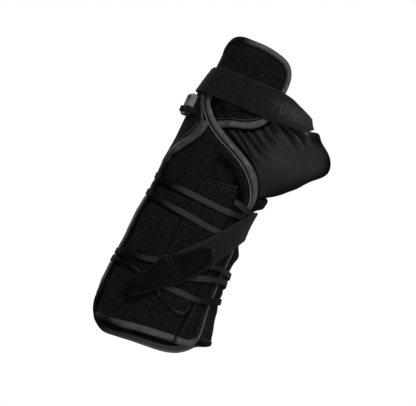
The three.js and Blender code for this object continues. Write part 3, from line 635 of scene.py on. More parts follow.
def lace_material():
    m = Mat("flat_lace", Roughness=0.8, Specular_IOR_Level=0.05)
    uv = m.mapped((1, 1, 1), "UV")
    warp, weft = m.wave(560, uv, "X"), m.wave(420, uv, "Y")
    slant = m.wave(300, uv, "DIAGONAL")
    yarn = m.noise(1700, 2, 0.5)
    fac = m.math("ADD", m.math("MULTIPLY", warp, 0.3), m.math("ADD", m.math("MULTIPLY", weft, 0.3), m.math("MULTIPLY", yarn, 0.5)))
    colour = m.mix(m.span(fac, 0.25, 0.8), grey(0.014, 1.0), grey(0.036, 1.0))
    # painted shade where the lace is marked dark, with less specular there
    colour = m.mix(m.attribute("painted_dimming"), colour, grey(0.0015, 1.0))
    m.link(m.span(m.attribute("painted_dimming"), 0.3, 1.0, 0.05, 0.030), m.shader.inputs["Specular IOR Level"])
    high = m.math("ADD", m.math("MULTIPLY", m.math("MULTIPLY", warp, weft), 0.9), m.math("ADD", m.math("MULTIPLY", slant, 0.25), m.math("MULTIPLY", yarn, 0.4)))
    return m.finish(colour, m.bump(high, 0.4, 0.0004))


def strap_material():
    m = Mat("loop_strap", Roughness=0.95, Specular_IOR_Level=0.05, Sheen_Weight=0.02, Sheen_Roughness=0.45, Sheen_Tint=grey(0.8))
    uv = m.mapped((1, 1, 1), "UV")
    nap = m.noise(520, 4, 0.65, distortion=0.3)
    fibre = m.noise(1500, 3, 0.6, m.mapped((1, 0.3, 1), "UV"))
    rib = m.wave(260, uv, "X", 0.4)
    patch = m.noise(60, 2, 0.5)
    fac = m.math("ADD", m.math("MULTIPLY", m.span(nap, 0.3, 0.7), 0.55), m.math("MULTIPLY", m.span(fibre, 0.3, 0.7), 0.45))
    colour = m.mix(fac, grey(0.0014, 1.0), grey(0.0110, 1.0))
    colour = m.mix(m.span(patch, 0.35, 0.65, 0.0, 0.3), colour, grey(0.005, 1.0))
    colour = m.mix(m.math("MULTIPLY", m.attribute("edge"), 0.5), colour, grey(0.014, 1.0))
    lint = m.noise(900, 4, 0.7, distortion=0.8)
    lint = m.math("MULTIPLY", m.span(lint, 0.40, 0.72), m.attribute("dust"))
    colour = m.mix(lint, colour, grey(0.070, 1.0))
    high = m.math("ADD", m.math("MULTIPLY", nap, 0.8), m.math("ADD", m.math("MULTIPLY", fibre, 0.5), m.math("MULTIPLY", rib, 0.25)))
    return m.finish(colour, m.bump(high, 0.6, 0.0008))


def hook_material():
    m = Mat("hook_tab", Roughness=0.95, Specular_IOR_Level=0.03, Sheen_Weight=0.008, Sheen_Roughness=0.5, Sheen_Tint=grey(0.7))
    uv = m.mapped((1, 1, 1), "UV")
    a, b = m.wave(330, uv, "X"), m.wave(330, uv, "Y")
    dots = m.math("MULTIPLY", a, b)
    patch = m.noise(90, 3, 0.6)
    yarn = m.noise(1200, 2, 0.5)
    colour = m.mix(m.span(m.math("ADD", m.math("MULTIPLY", patch, 0.6), m.math("MULTIPLY", yarn, 0.4)), 0.3, 0.7), grey(0.0018, 1.0), grey(0.0042, 1.0))
    colour = m.mix(m.math("MULTIPLY", m.attribute("edge"), 0.7), colour, grey(0.012, 1.0))
    high = m.math("ADD", m.math("MULTIPLY", dots, 0.5), m.math("MULTIPLY", yarn, 0.6))
    return m.finish(colour, m.bump(high, 0.35, 0.0004))


def thread_material(name, low, high):
    m = Mat(name, Roughness=0.6, Specular_IOR_Level=0.12)
    twist = m.noise(900, 3, 0.6)
    colour = m.mix(m.span(twist, 0.3, 0.7), grey(low), grey(high))
    return m.finish(colour, m.bump(twist, 0.3, 0.0002))


def plastic_material():
    m = Mat("ring_plastic", Roughness=0.42, Specular_IOR_Level=0.25)
    fine, scuff = m.noise(900, 2, 0.5), m.noise(160, 4, 0.65)
    colour = m.mix(m.span(scuff, 0.35, 0.7), grey(0.085, 1.0), grey(0.115, 1.0))
    # painted shade where the ring is marked dark, with less specular there
    colour = m.mix(m.attribute("painted_dimming"), colour, grey(0.010, 1.0))
    m.link(m.span(m.attribute("painted_dimming"), 0.3, 0.95, 0.25, 0.02), m.shader.inputs["Specular IOR Level"])
    return m.finish(colour, m.bump(fine, 0.12, 0.0002), m.span(scuff, 0.3, 0.7, 0.3, 0.5))


FLEECE, TAPE, SLEEVE = fleece_material(), tape_material(), sleeve_material()
LACE, STRAP, HOOK = lace_material(), strap_material(), hook_material()
THREAD_DARK, THREAD_LIGHT = thread_material("thread_dark", 0.003, 0.009), thread_material("thread_light", 0.014, 0.032)
PLASTIC = plastic_material()


def dress(obj, mat, slot, *nodes):
    obj.data.materials.append(mat)
    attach(obj, "root")
    if nodes:
        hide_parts(*nodes)
    return obj


# ------------------------------------------------------------------ lines that press or crease the panels
def lace_path(rows, step=0.9):
    rows = np.asarray(rows, float)
    th = np.linspace(rows[0, 0], rows[-1, 0], 1600)
    z, off = along(rows, 1, th), steps(rows[:, [0, 2]], th)
    off = off - LACE_SINK * smooth(5.0, 6.4, off)
    p = skin(th, z, off)
    t = resample(np.column_stack([p, th, z, off]), step=step)
    return t[:, :3], t[:, 3], t[:, 4], t[:, 5]


LACE_SINK = 0.9  # how far a lace draws the edge tape in
lace_lines = {"upper_lace": lace_path(UPPER_LACE), "lower_lace": lace_path(LOWER_LACE)}
lace_points = np.concatenate([v[0] for v in lace_lines.values()])


def form_line(places, off, step=0.8):
    places = np.asarray(places, float)
    s = np.linspace(0, 1, 200)
    q = row(places, s)
    return resample(skin(q[:, 0], q[:, 1], np.full(len(q), off)), step=step)


CREASE = form_line([(-112, 158), (-103, 156), (-84, 151), (-71, 145.5), (-61, 141), (-52, 133), (-48, 124)], WALL)
POCKET_RIM = np.concatenate([form_line([(r[0], r[1]) for r in STAY], WALL), form_line([(r[2], r[3]) for r in STAY], WALL),
                             form_line([STAY[0][:2], STAY[0][2:]], WALL), form_line([STAY[-1][:2], STAY[-1][2:]], WALL)])
SEAM = form_line([(-57, 44), (-58.5, 38), (-61, 31), (-64, 24), (-67, 16)], WALL)


def panel_grid(rows, nu, nv, low=None, top=None):
    v = np.linspace(0, 1, nv + 1)[:, None]
    u = np.linspace(0, 1, nu + 1)[None, :]
    r = row(rows, v[:, 0])
    first, last = row(rows, 0.0), row(rows, 1.0)
    th = r[:, 0:1] + (r[:, 2:3] - r[:, 0:1]) * u
    z = r[:, 1:2] + (r[:, 3:4] - r[:, 1:2]) * u
    if low is not None:
        z = z + (1 - v) ** 3 * (along(low, 1, first[0] + (first[2] - first[0]) * u) - (first[1] + (first[3] - first[1]) * u))
    if top is not None:
        z = z + v**3 * (along(top, 1, last[0] + (last[2] - last[0]) * u) - (last[1] + (last[3] - last[1]) * u))
    return th, z


def edge_distance(points):
    u, v = arc(points, 1), arc(points, 0)
    return np.minimum(np.minimum(u, u[:, -1:] - u), np.minimum(v, v[-1:] - v))


def flat_lift(th, z):
    return np.zeros(np.broadcast(th, z).shape)


def back_lift(th, z):
    beside_thumb = smooth(-18, -6, th) * (1 - smooth(38, 56, th))
    return steps(BACK_LIFT, th) + beside_thumb * (RIM[2] * smooth(RIM[0], RIM[1], z) - (RIM[2] - RIM[5]) * smooth(RIM[3], RIM[4], z) + SLACK[2] * np.exp(-(((z - SLACK[0]) / SLACK[1]) ** 2)))


def hand_lift(th, z):
    return UNDER * (1 - smooth(6.5, 13, z - along(S_EDGE, 1, th)))


def pressed(points):
    """How far the laces draw the cloth in, in mm."""
    d, _, _ = to_line(points, lace_points)
    return -0.55 * np.exp(-((d / 4.2) ** 2)) - 0.75 * np.exp(-((d / 3.4) ** 2)) * (np.abs(points[..., 0] + 40) < 14) + 0.35 * np.exp(-(((d - 7.5) / 3.2) ** 2))


def soft_panel(name, th, z, lift, extra=None):
    """A fleece wall over the form. extra gives (height, painted shade, paleness) by place."""
    base = skin(th, z, lift + WALL)
    d = edge_distance(base)
    thick = WALL * (0.56 + 0.44 * smooth(0, 3.4, d))
    swell = 0.30 * noise(base, 17, 3) + 0.16 * noise(base, 6.5, 4) + pressed(base)
    painted_shade, pale = 0 * swell, 0 * swell
    if extra is not None:
        more, painted_shade, pale = extra(base, th, z)
        swell = swell + more
    hold = smooth(0.5, 5.0, d)
    swell = np.where(swell > 0, swell * smooth(3.0, 8.0, d), swell)
    outer = skin(th, z, lift + thick + swell * hold)
    low = lift + 0.12 * noise(base, 12, 5) * hold + 0.25 * (1 - smooth(0, 2.5, d))
    inner = skin(th, z, low)
    return shell(name, outer, inner, values={"painted_shade": np.clip(painted_shade, 0, 1), "pale": np.clip(pale, 0, 1)})


def beside(p, th, z, line):
    """Distance to a line on the form, place along it, and distance to its right side."""
    d, t, i = to_line(p, line)
    across = np.cross(unit(np.gradient(line, axis=0))[i], form_normal(th, z))
    return d, t, ((p - line[i]) * across).sum(-1)


def forearm_extra(p, th, z):
    d, t, side = beside(p, th, z, CREASE)  # side above 0 lies away from the bound edge
    fade = smooth(0.0, 0.2, t) * (1 - smooth(0.85, 1.0, t))
    out = fade * (-2.0 * np.exp(-((d / 2.8) ** 2)) + 1.1 * np.exp(-(((side + 6.5) / 3.6) ** 2)) * (d < 14))
    # painted shade down the crease
    painted_shade = fade * np.exp(-((d / 3.4) ** 2)) * (0.8 + 0.4 * noise(p, 7, 36))
    d, t, side = beside(p, th, z, SEAM)
    fade = 1 - smooth(0.0, 3.0, np.where((t <= 0) | (t >= 1), d - np.abs(side), 0))
    out += fade * (-1.0 * np.exp(-((d / 1.1) ** 2)) + 0.55 * np.exp(-(((side + 2.6) / 1.8) ** 2)) * (d < 9))
    # painted shadow along the seam's step, with a painted highlight on the overlapping edge beside it
    painted_shade += 0.95 * fade * np.exp(-((d / 1.0) ** 2))
    pale = 0.35 * fade * np.exp(-(((side + 2.2) / 1.2) ** 2)) * (d < 6)
    # painted shade round the pocket's rim on the panel
    d, _, _ = to_line(p, POCKET_RIM)
    painted_shade += 0.8 * np.exp(-((d / 1.3) ** 2))
    # slack drawn towards the laces at the little-finger side
    out += 0.5 * noise(p * np.array([1, 1, 1.9]), 9.5, 8) * smooth(-120, -160, th) * smooth(40, 55, z) * (1 - smooth(128, 150, z))
    # shallow dents between the pile's lie
    out += 0.35 * noise(p, 9, 9) * smooth(140, 150, z)
    return out, painted_shade, pale


# ------------------------------------------------------------------ panels and their edge tape
TAPE_ACROSS = np.array([-2.0, -1.95, -1.68, -1.36, -1.12, -0.8, -0.45, -0.05, 0.7, 1.9, 3.0, 4.0, 4.8, 5.25, 5.45, 5.15, 4.3, 2.8, 1.2, -0.4, -1.5])
TAPE_HEIGHT = np.array([1.8, 2.75, 3.2, 3.1, 2.45, 2.05, 2.1, 2.55, 3.05, 3.3, 3.35, 3.15, 2.65, 1.95, 1.2, 0.55, 0.05, -0.25, -0.3, 0.05, 0.8])
TAPE_SPLIT = -0.45  # the lip lies on one side of this, the fold on the other
# painted shade on the tape: in the sunk stitch line, down its folded side and on the back next to the panel
TAPE_PAINTED_SHADE = np.array([0.3, 0.1, 0.0, 0.3, 0.95, 1.0, 1.0, 0.7, 0.15, 0.0, 0.0, 0.0, 0.1, 0.35, 0.6, 0.4, 0.15, 0.2, 0.8, 1.0, 0.8])


def make_tape(name, chain, lift, nodes, wide=None, lip=None, painted_dimming=None, glow=None):
    """A folded tape round a chain of panel edge places: a thin inner lip, a sunk stitch line and a rounded fold.
    wide, lip and dim give its width, how much of its lip shows and its darkness by place: th, z, and across for dim.
    glow gives where its folded side gets a painted highlight."""
    th, z = chain
    t = resample(np.column_stack([skin(th, z, lift(th, z) + WALL / 2), th, z]), step=0.8)
    t = soften(t, 3.4)
    th, z = t[:, 3], t[:, 4]
    spots = skin(th, z, lift(th, z) + WALL / 2)
    n = form_normal(th, z)
    side = unit(np.cross(unit(np.gradient(spots, axis=0)), n))
    side = unit(soften(side, 2.0))
    w = np.ones(len(th)) if wide is None else wide(th, z)
    l = np.ones(len(th)) if lip is None else lip(th, z)
    a = TAPE_SPLIT + (TAPE_ACROSS - TAPE_SPLIT) * np.where(TAPE_ACROSS > TAPE_SPLIT, w[:, None], l[:, None])
    a = a * (1 + 0.05 * noise(spots, 11, 21)[:, None])
    k = a.shape[1]
    top = smooth(1.0, 2.4, TAPE_HEIGHT)[None, :]
    d, _, _ = to_line(spots, lace_points)
    lump = (0.24 * noise(spots, 5.0, 22) + 0.22 * noise(spots, 13.0, 23) - LACE_SINK * np.exp(-((d / 3.6) ** 2)))[:, None] * top
    crown = (TAPE_HEIGHT - 1.2) * np.where(TAPE_HEIGHT > 1.2, 0.55 + 0.45 * np.minimum(1, w)[:, None], 1) + 1.2
    tt, zz = slide(np.repeat(th[:, None], k, 1), np.repeat(z[:, None], k, 1), side[:, None, :] * a[..., None])
    pts = skin(tt, zz, lift(th, z)[:, None] + crown + lump)
    # painted shade across the tape and by place, painted highlight on its thin lip and on its paler folded side
    dark = np.broadcast_to(TAPE_PAINTED_SHADE[None, :], a.shape)
    if painted_dimming is not None:
        dark = np.maximum(dark, painted_dimming(th[:, None], z[:, None], np.broadcast_to(TAPE_ACROSS[None, :], a.shape), np.broadcast_to(TAPE_HEIGHT[None, :], a.shape)))
    lit = np.where(TAPE_ACROSS < -1.2, 1.0, 0.0)[None, :] * smooth(0.9, 1.0, l)[:, None] * (1 - dark)
    if glow is not None:
        pale = glow(th[:, None], z[:, None], np.broadcast_to(np.arange(k)[None, :], a.shape))
        dark, lit = dark * (1 - pale), np.maximum(lit, pale)
    obj = strip(name, pts, values={"painted_dimming": dark, "lit": lit})
    dress(obj, TAPE, "edge_tape", *nodes)
    return obj, pts, n, (th, z)


def edge_chain(th, z, parts):
    """Places round a panel's border: 'low', 'right' and 'top' sides in turn."""
    a, b = [], []
    for p in parts:
        if p == "low":
            a.append(th[0]), b.append(z[0])
        elif p == "right":
            a.append(th[1:, -1]), b.append(z[1:, -1])
        elif p == "top":
            a.append(th[-1, :-1][::-1]), b.append(z[-1, :-1][::-1])
    return np.concatenate(a), np.concatenate(b)


th, z = panel_grid(FOREARM, 104, 200, FOREARM_HEM)
forearm = dress(soft_panel("forearm_fleece", th, z, flat_lift(th, z), forearm_extra), FLEECE, "fleece", "forearm_panel")


def forearm_wide(th, z):
    # narrow under the hand strap, broad in the lower bend of the S, narrow again where it runs out at the thumb side
    hem = np.where(z < 26, 1 - 0.35 * (1 - smooth(-150, -112, th)), 1)
    return hem * np.interp(z, (20, 112, 122, 128, 134, 141, 148, 155, 161, 168, 178, 200), (1, 1, 0.75, 0.6, 0.85, 1.12, 1.14, 1.05, 0.9, 0.86, 0.8, 0.75))


def forearm_painted_shade(th, z, a, h):
    # painted shade: along the thumb-side edge only the outer fold catches the light, and on the hem the tape is darker
    # at its left end, where the seam meets it and on its lip
    low_edge = smooth(-52, -46, th) * (1 - smooth(96, 128, z))
    across = picture(skin(th, z, np.full(np.shape(th), 3.0)))[..., 0]
    hem_left = np.where(z < 30, np.maximum(1 - smooth(-144, -120, th), 0.38 * (1 - smooth(120, 140, across))), 0)
    seam_shadow = np.where(z < 30, 0.95 * np.exp(-(((across - 176.2) / 2.1) ** 2)), 0)
    painted_shade_zone = np.where((z < 30) & (a < -0.8), 0.95, 0)
    return np.maximum(np.maximum(low_edge * np.where(a < -0.6, 0.99, 0.9) * (1 - smooth(2.2, 3.0, a)), 0.95 * hem_left), np.maximum(seam_shadow, painted_shade_zone))


a, b = edge_chain(th, z, ("low", "right"))
a, b = np.concatenate([a, [-151.5, -153.5, -155]]), np.concatenate([b, [194, 197.5, 201]])  # runs on under the hand strap
forearm_tape, forearm_pts, forearm_n, forearm_at = make_tape("forearm_edge_tape", (a, b), flat_lift, ["forearm_binding"], forearm_wide, painted_dimming=forearm_painted_shade)

th, z = panel_grid(BACK, 150, 190, BACK_HEM, BACK_TOP)


def back_extra(points, th, z):
    # the flap's foot on the thumb side lies in the shade of the front panel
    foot = 0.7 * (1 - smooth(4, 26, z)) * (1 - smooth(40, 62, th))
    return 0 * foot, foot, 0 * foot


back = dress(soft_panel("back_fleece", th, z, back_lift(th, z), back_extra), FLEECE, "fleece", "back_panel")


def back_wide(th, z):
    broad = 1 + 0.22 * smooth(190, 200, th) * smooth(138, 150, z)
    return broad * (1 - 0.76 * smooth(175.5, 179.5, z)) * (1 - 0.3 * (1 - smooth(-20, 30, th)))


def back_lip(th, z):
    return 1 - 0.85 * smooth(174, 179, z)


def back_painted_shade(th, z, a, h):
    # painted shade on the back tape: along the flap's hem, at the far corner, down the little-finger edge and its foot,
    # in bands on the wing, on the stretch beside the upper lace, and towards the peak
    hem = (th < 186) & (z < 30)
    flap = np.where(hem, 0.985 * (1 - smooth(24, 52, th)), 0)
    corner = np.where(z < 30, 0.9 * smooth(136, 152, th), 0) + 0 * a
    edge = np.where((z >= 20) & (th > 180) & (z < 139), 1, 0) * (1 - smooth(2.5, 3.1, h)) * smooth(-0.1, 0.7, a)
    low_edge = 0.9 * smooth(180, 186, th) * (1 - smooth(30, 36, z))
    wing = np.where((th > 186) & (z >= 120), 0.42 * smooth(136, 146, z) + 0.42 * (1 - smooth(143, 155, z)), 0) + 0 * a
    painted_edge_shade = np.where(th > 178, 0.93 * smooth(101, 118, z) * (1 - smooth(137, 153, z)), 0) + 0 * a
    peak = np.where(th > 186, smooth(173, 179, z), 0) * (0.5 + 0.4 * (1 - smooth(2.4, 3.2, a)))
    peak = np.maximum(peak, np.where((th > 186) & (z >= 140) & (a < -0.8), 0.8, 0))
    return np.maximum(np.maximum(np.maximum(flap, corner), np.maximum(wing, painted_edge_shade)), np.maximum(np.maximum(edge, low_edge), peak))


def back_painted_highlight(th, z, i):
    # painted highlight on the far hem's inner side: its turned edge and the lip above it
    across = picture(skin(th, z, np.full(np.shape(th), 0.5)))[..., 0]
    reach = np.where((z < 24) & (th > 40) & (th < 150), smooth(112, 160, across), 0)
    return reach * np.where((i >= 14) & (i <= 16), 0.75, np.where(i == 18, 0.6, 0))


back_tape, back_pts, back_n, _ = make_tape("back_edge_tape", edge_chain(th, z, ("low", "right")), back_lift, ["back_binding"], back_wide, back_lip, back_painted_shade, back_painted_highlight)

th, z = panel_grid(HAND, 90, 80, HAND_LOW, HAND_TOP)


def hand_extra(p, th, z):
    folds = np.sin((z - 0.24 * (th + 100)) / 2.1 + 1.5 * noise(p, 14, 33)) * smooth(186, 190, z) * (1 - smooth(196, 200, z))
    # painted shade in the fold valleys
    return 0.35 * noise(p, 12, 31) + 0.45 * folds, 0.5 * np.clip(-folds, 0, 1), 0 * z


def hand_painted_shade(th, z, a, h):
    # painted shade on the hand tape: its top towards the little-finger side, all but its outer fold higher up, and its
    # lip lower down
    top = np.where(z > 222, 0.97 * (1 - smooth(-142, -114, th)), 0) + 0 * a
    inner = np.where(a < -0.8, 0.95, 0.94 * (1 - smooth(1.4, 2.4, a))) * smooth(204, 212, z)
    return np.maximum(np.maximum(top, inner), np.where(a < -0.3, 0.8 + 0.1 * smooth(-1.2, -0.6, a), 0) * (z < 215))


hand = dress(soft_panel("hand_fleece", th, z, hand_lift(th, z), hand_extra), FLEECE, "fleece", "hand_panel")
hand_tape, hand_pts, hand_n, hand_at = make_tape(
    "hand_edge_tape", edge_chain(th, z, ("low", "right", "top")), lambda a, b: hand_lift(a, b) - 0.35, ["hand_binding"], painted_dimming=hand_painted_shade)

# ------------------------------------------------------------------ thumb sleeve
# Folds of the stretch cloth: places along each in the picture, its depth in mm and its width in picture dots.
FOLDS = [
    (((224.4, 128.8), (233.8, 140), (241.9, 152.5), (251.3, 163.8), (256.3, 171.3)), 1.0, 1.9),
    (((235.6, 131), (241.9, 140), (248.1, 151.3), (256.3, 163.8), (263.1, 173.8)), 1.3, 1.5),
    (((243.1, 131), (250, 140), (257.5, 150), (265, 158.8), (272, 166)), 1.8, 1.7),
    (((251.3, 130), (257.5, 138.8), (265, 148.8), (273, 156)), 1.7, 1.7),
    (((261.3, 128), (267.5, 137.5), (275, 145), (282, 151)), 1.5, 1.8),
    (((269, 123), (275, 132.5), (281.3, 138.8)), 1.3, 2.2),
    (((281.3, 126), (288.8, 135), (296.3, 145), (305, 155)), 1.5, 1.6),
    (((291.3, 127.5), (300, 137.5), (306.3, 146.3), (311.8, 154)), 1.4, 1.5),
    (((296.3, 130), (302.5, 135.6), (307.5, 142)), 1.0, 1.4),
]


def sleeve_grid(off, radius, cols, rows):
    base = np.array(SLEEVE_BASE, float)
    n = len(base)
    i = np.arange(-2, n + 3)
    wrapped = np.column_stack([i, base[i % n, 0], base[i % n, 1], base[i % n, 2] + 360 * np.floor_divide(i, n)])
    s = np.arange(cols) / cols * n
    bth, bz, phi = (along(wrapped, c, s) for c in (1, 2, 3))
    p0 = skin(bth, bz, np.full(cols, off))
    a = np.radians(phi)[:, None]
    p3 = THUMB_CENTRE + radius * (np.cos(a) * THUMB_NEAR + np.sin(a) * THUMB_UP)
    axis = unit(np.cross(THUMB_NEAR, THUMB_UP))
    axis = axis if axis[0] > 0 else -axis
    for at, spread, far in SLEEVE_CUT:
        turned = (phi - at + 180) % 360 - 180
        p3 = p3 - axis * (far * np.exp(-((turned / spread) ** 2)))[:, None]
    reach = p3 - p0
    nrm = form_normal(bth, bz)
    t0 = unit(reach - (reach * nrm).sum(-1, keepdims=True) * nrm)
    span = np.linalg.norm(reach, axis=-1, keepdims=True) * THUMB_PULL
    p1, p2 = p0 + t0 * span, p3 - axis * span
    t = np.linspace(0, 1, rows + 1)[:, None, None]
    full = SLEEVE_SWELL * np.maximum(0, -np.sin(a)) ** 1.3 * (np.cos(a) * THUMB_NEAR + np.sin(a) * THUMB_UP)
    return (1 - t) ** 3 * p0 + 3 * (1 - t) ** 2 * t * p1 + 3 * (1 - t) * t**2 * p2 + t**3 * p3 + np.maximum(0, np.sin(math.pi * t)) ** 1.1 * full


def grid_normals(g, ring):
    du = np.roll(g, -1, 1) - np.roll(g, 1, 1) if ring else np.gradient(g, axis=1)
    return unit(np.cross(du, np.gradient(g, axis=0)))


cols, rows = 330, 108
out0, in0 = sleeve_grid(SLEEVE_OUT, THUMB_RADIUS, cols, rows), sleeve_grid(SLEEVE_IN, THUMB_RADIUS - 1.1, cols, rows)
nrm = grid_normals(out0, True)
if ((out0 - in0) * nrm).sum() < 0:
    nrm = -nrm
px = picture(out0)
facing = smooth(0.05, 0.35, (nrm * CAM_BACK).sum(-1))
disp, painted_shade = np.zeros(out0.shape[:2]), np.zeros(out0.shape[:2])
for places, depth, width in FOLDS:
    line = resample(np.column_stack([catmull(np.array(places, float), 24), np.zeros(25)]), step=0.5)[:, :2]
    d, t, i = to_line(px, line)
    run = unit(np.gradient(line, axis=0))[i]
    rel = px - line[i]
    off = rel[..., 1] * run[..., 0] - rel[..., 0] * run[..., 1]
    w = width * (0.85 + 0.3 * t)
    end = np.maximum(0, np.abs((rel * run).sum(-1)) - 0.3)
    fade = (1 - smooth(0.45, 1.0, t)) * np.exp(-((end / 2.0) ** 2)) * facing
    near = np.exp(-np.abs(off / w) ** 1.4)
    disp += depth * fade * (-near + 0.55 * np.exp(-(((off + 1.9 * w) / (1.1 * w)) ** 2)) + 0.35 * np.exp(-(((off - 2.1 * w) / (1.2 * w)) ** 2)))
    # painted shade along each fold's valley
    painted_shade += 0.66 * min(1, depth) * fade * near
disp *= 1 - 0.75 * np.exp(-(((px[..., 0] - 308) / 5.0) ** 2 + ((px[..., 1] - 135) / 7.0) ** 2))
t = np.linspace(0, 1, rows + 1)[:, None]
hold = smooth(0.0, 0.06, t) * (1 - smooth(0.94, 1.0, t))
soft = 0.45 * noise(out0 * np.array([1, 1, 1.4]), 15, 41) + 0.14 * noise(out0, 6, 42)
behind = 1 - facing
ripple = 0.8 * np.sin(np.arange(cols)[None, :] / cols * 2 * math.pi * 23 + 3 * noise(out0, 22, 43)) * (1 - smooth(0.1, 0.75, t)) * behind
move = np.clip((disp + soft * (0.5 + 0.5 * behind) + ripple) * hold, -2.4, 1.6)
hem = 0.18 * (smooth(0.945, 0.955, t) - 1.1 * np.exp(-(((t - 0.948) / 0.005) ** 2)))
sleeve_out = out0 + nrm * (move + hem)[..., None]
sleeve_in = in0 + nrm * (move * 0.95)[..., None]
# it lies in shadow beside the edges that overlap it, on its lower side and inside its end
for pts, (_, at_z), keep, reach in ((forearm_pts, forearm_at, forearm_at[1] > 137, (148, 160, 1.6, 3.4)), (hand_pts, hand_at, hand_at[1] < 200, (150, 160, 3.0, 3.0))):
    d, _, i = to_line(px, picture(pts[keep, 13]))
    r = reach[2] + (reach[3] - reach[2]) * smooth(reach[0], reach[1], at_z[keep][i])
    painted_shade += (1 - smooth(0.4 * r, 1.6 * r, d)) * facing
painted_shade += 0.7 * smooth(0.3, 1.0, -(nrm * THUMB_UP).sum(-1)) + 0.3 * smooth(0.8, 1.0, t) + 0.45 * smooth(0.93, 1.0, t)
# painted shade at a spot near the end and over the end's upper corner
painted_shade += 0.8 * np.exp(-(((px[..., 0] - 307.5) / 5.0) ** 2 + ((px[..., 1] - 135) / 7.5) ** 2)) * facing
corner = np.hypot((px[..., 0] - 317) / 7.0, (px[..., 1] - 138) / 9.5)
painted_shade += np.interp(px[..., 1], (130, 139, 146), (0.9, 0.86, 0.6)) * (1 - smooth(0.6, 1.4, corner)) * facing
low = np.column_stack([catmull(np.array([(331, 161), (329.5, 166), (327, 170), (322, 175.5), (314, 181), (304, 185.5), (290, 190.5), (275, 195.5), (266, 199)], float), 60)])
d, _, _ = to_line(px, low)
painted_shade += 0.36 * np.exp(-((d / 5.5) ** 2)) * ((nrm * CAM_BACK).sum(-1) > -0.1)
sleeve = dress(shell("stretch_sleeve", sleeve_out, sleeve_in, ring=True, values={"painted_shade": np.clip(painted_shade, 0, 0.985)}), SLEEVE, "stretch_sleeve", "thumb_sleeve")

# ------------------------------------------------------------------ stay pocket
th, z = panel_grid(STAY, 46, 120)
base = skin(th, z, np.full(th.shape, 3.95))
d = edge_distance(base)
up = arc(base, 0)
from_top = up[-1:] - up
across = np.linspace(0, 1, th.shape[1])[None, :]
waver = 0.45 * np.sin(across * 2 * math.pi * 3.1 + 0.5) + 0.5 * np.sin(across * 2 * math.pi * 7.3 + 1.9) * np.sin(across * 2 * math.pi * 1.3)
wave = 0.6 * waver * np.exp(-from_top / 6.0)
z = z + wave
rise = 3.02 + 1.0 * smooth(0.0, 2.6, d) + (0.22 * noise(base, 11, 51) + 0.18 * noise(base, 5, 52) + 0.6 * pressed(base)) * smooth(0.5, 5, d)
rise = rise - 0.45 * np.exp(-(((d - 2.6) / 0.7) ** 2)) * smooth(1.0, 2.0, from_top)
rise = rise + 0.45 * np.exp(-(((from_top - 2.4) / 1.6) ** 2)) * (0.5 + 0.5 * np.sin(across * 2 * math.pi * 9))
pocket_out = skin(th, z, rise)
# paler where it is folded and sewn: the wavering top and the turned-up foot; down the edge away from the thumb a
# painted highlight on its rim
weave = 1.5 + 0.5 * waver
left = arc(base, 1)
patchy = 0.65 + 0.35 * np.sin(across * 2 * math.pi * 5.7 + 0.8)
pale = (0.62 * np.exp(-(((from_top - weave) / 0.7) ** 2)) + 0.45 * np.exp(-(((from_top - weave - 2.8) / 0.7) ** 2))) * patchy * smooth(-0.02, 0.1, across) * (1 - smooth(0.9, 1.0, across))
pale = pale + 0.28 * np.exp(-((left / 0.9) ** 2)) * smooth(48, 60, z)
pale = pale + 0.85 * np.exp(-(((d - 1.7) / 1.5) ** 2)) * (1 - smooth(44, 50, z)) * (1 - smooth(-66, -58, th))
# painted shade in the groove between the top rows and inside the foot's rim
dent_shade = 0.6 * np.exp(-(((from_top - weave - 1.4) / 0.6) ** 2)) + 0.5 * np.exp(-(((d - 3.4) / 0.8) ** 2)) * (1 - smooth(44, 50, z))
pocket = dress(shell("stay_pocket_fleece", pocket_out, skin(th, z, np.full(th.shape, 2.86)), values={"painted_shade": np.clip(dent_shade, 0, 1), "pale": np.clip(pale, 0, 1)}),
               FLEECE, "fleece", "stay_pocket")

# ------------------------------------------------------------------ laces
def flat_profile(width, thick, count=5, edge=0.42):
    """Across and height of a flat strap's closed section, its two long edges rounded."""
    top = np.linspace(-1, 1, 2 * count + 1)
    a = np.concatenate([[-1], top * 0.93, [1], top[::-1] * 0.93])
    h = np.concatenate([[0.5], np.where(np.abs(top) > 0.95, 0.93, 1.0), [0.5], np.where(np.abs(top) > 0.95, 0.07, 0.0)])
    return a * width / 2, h * thick


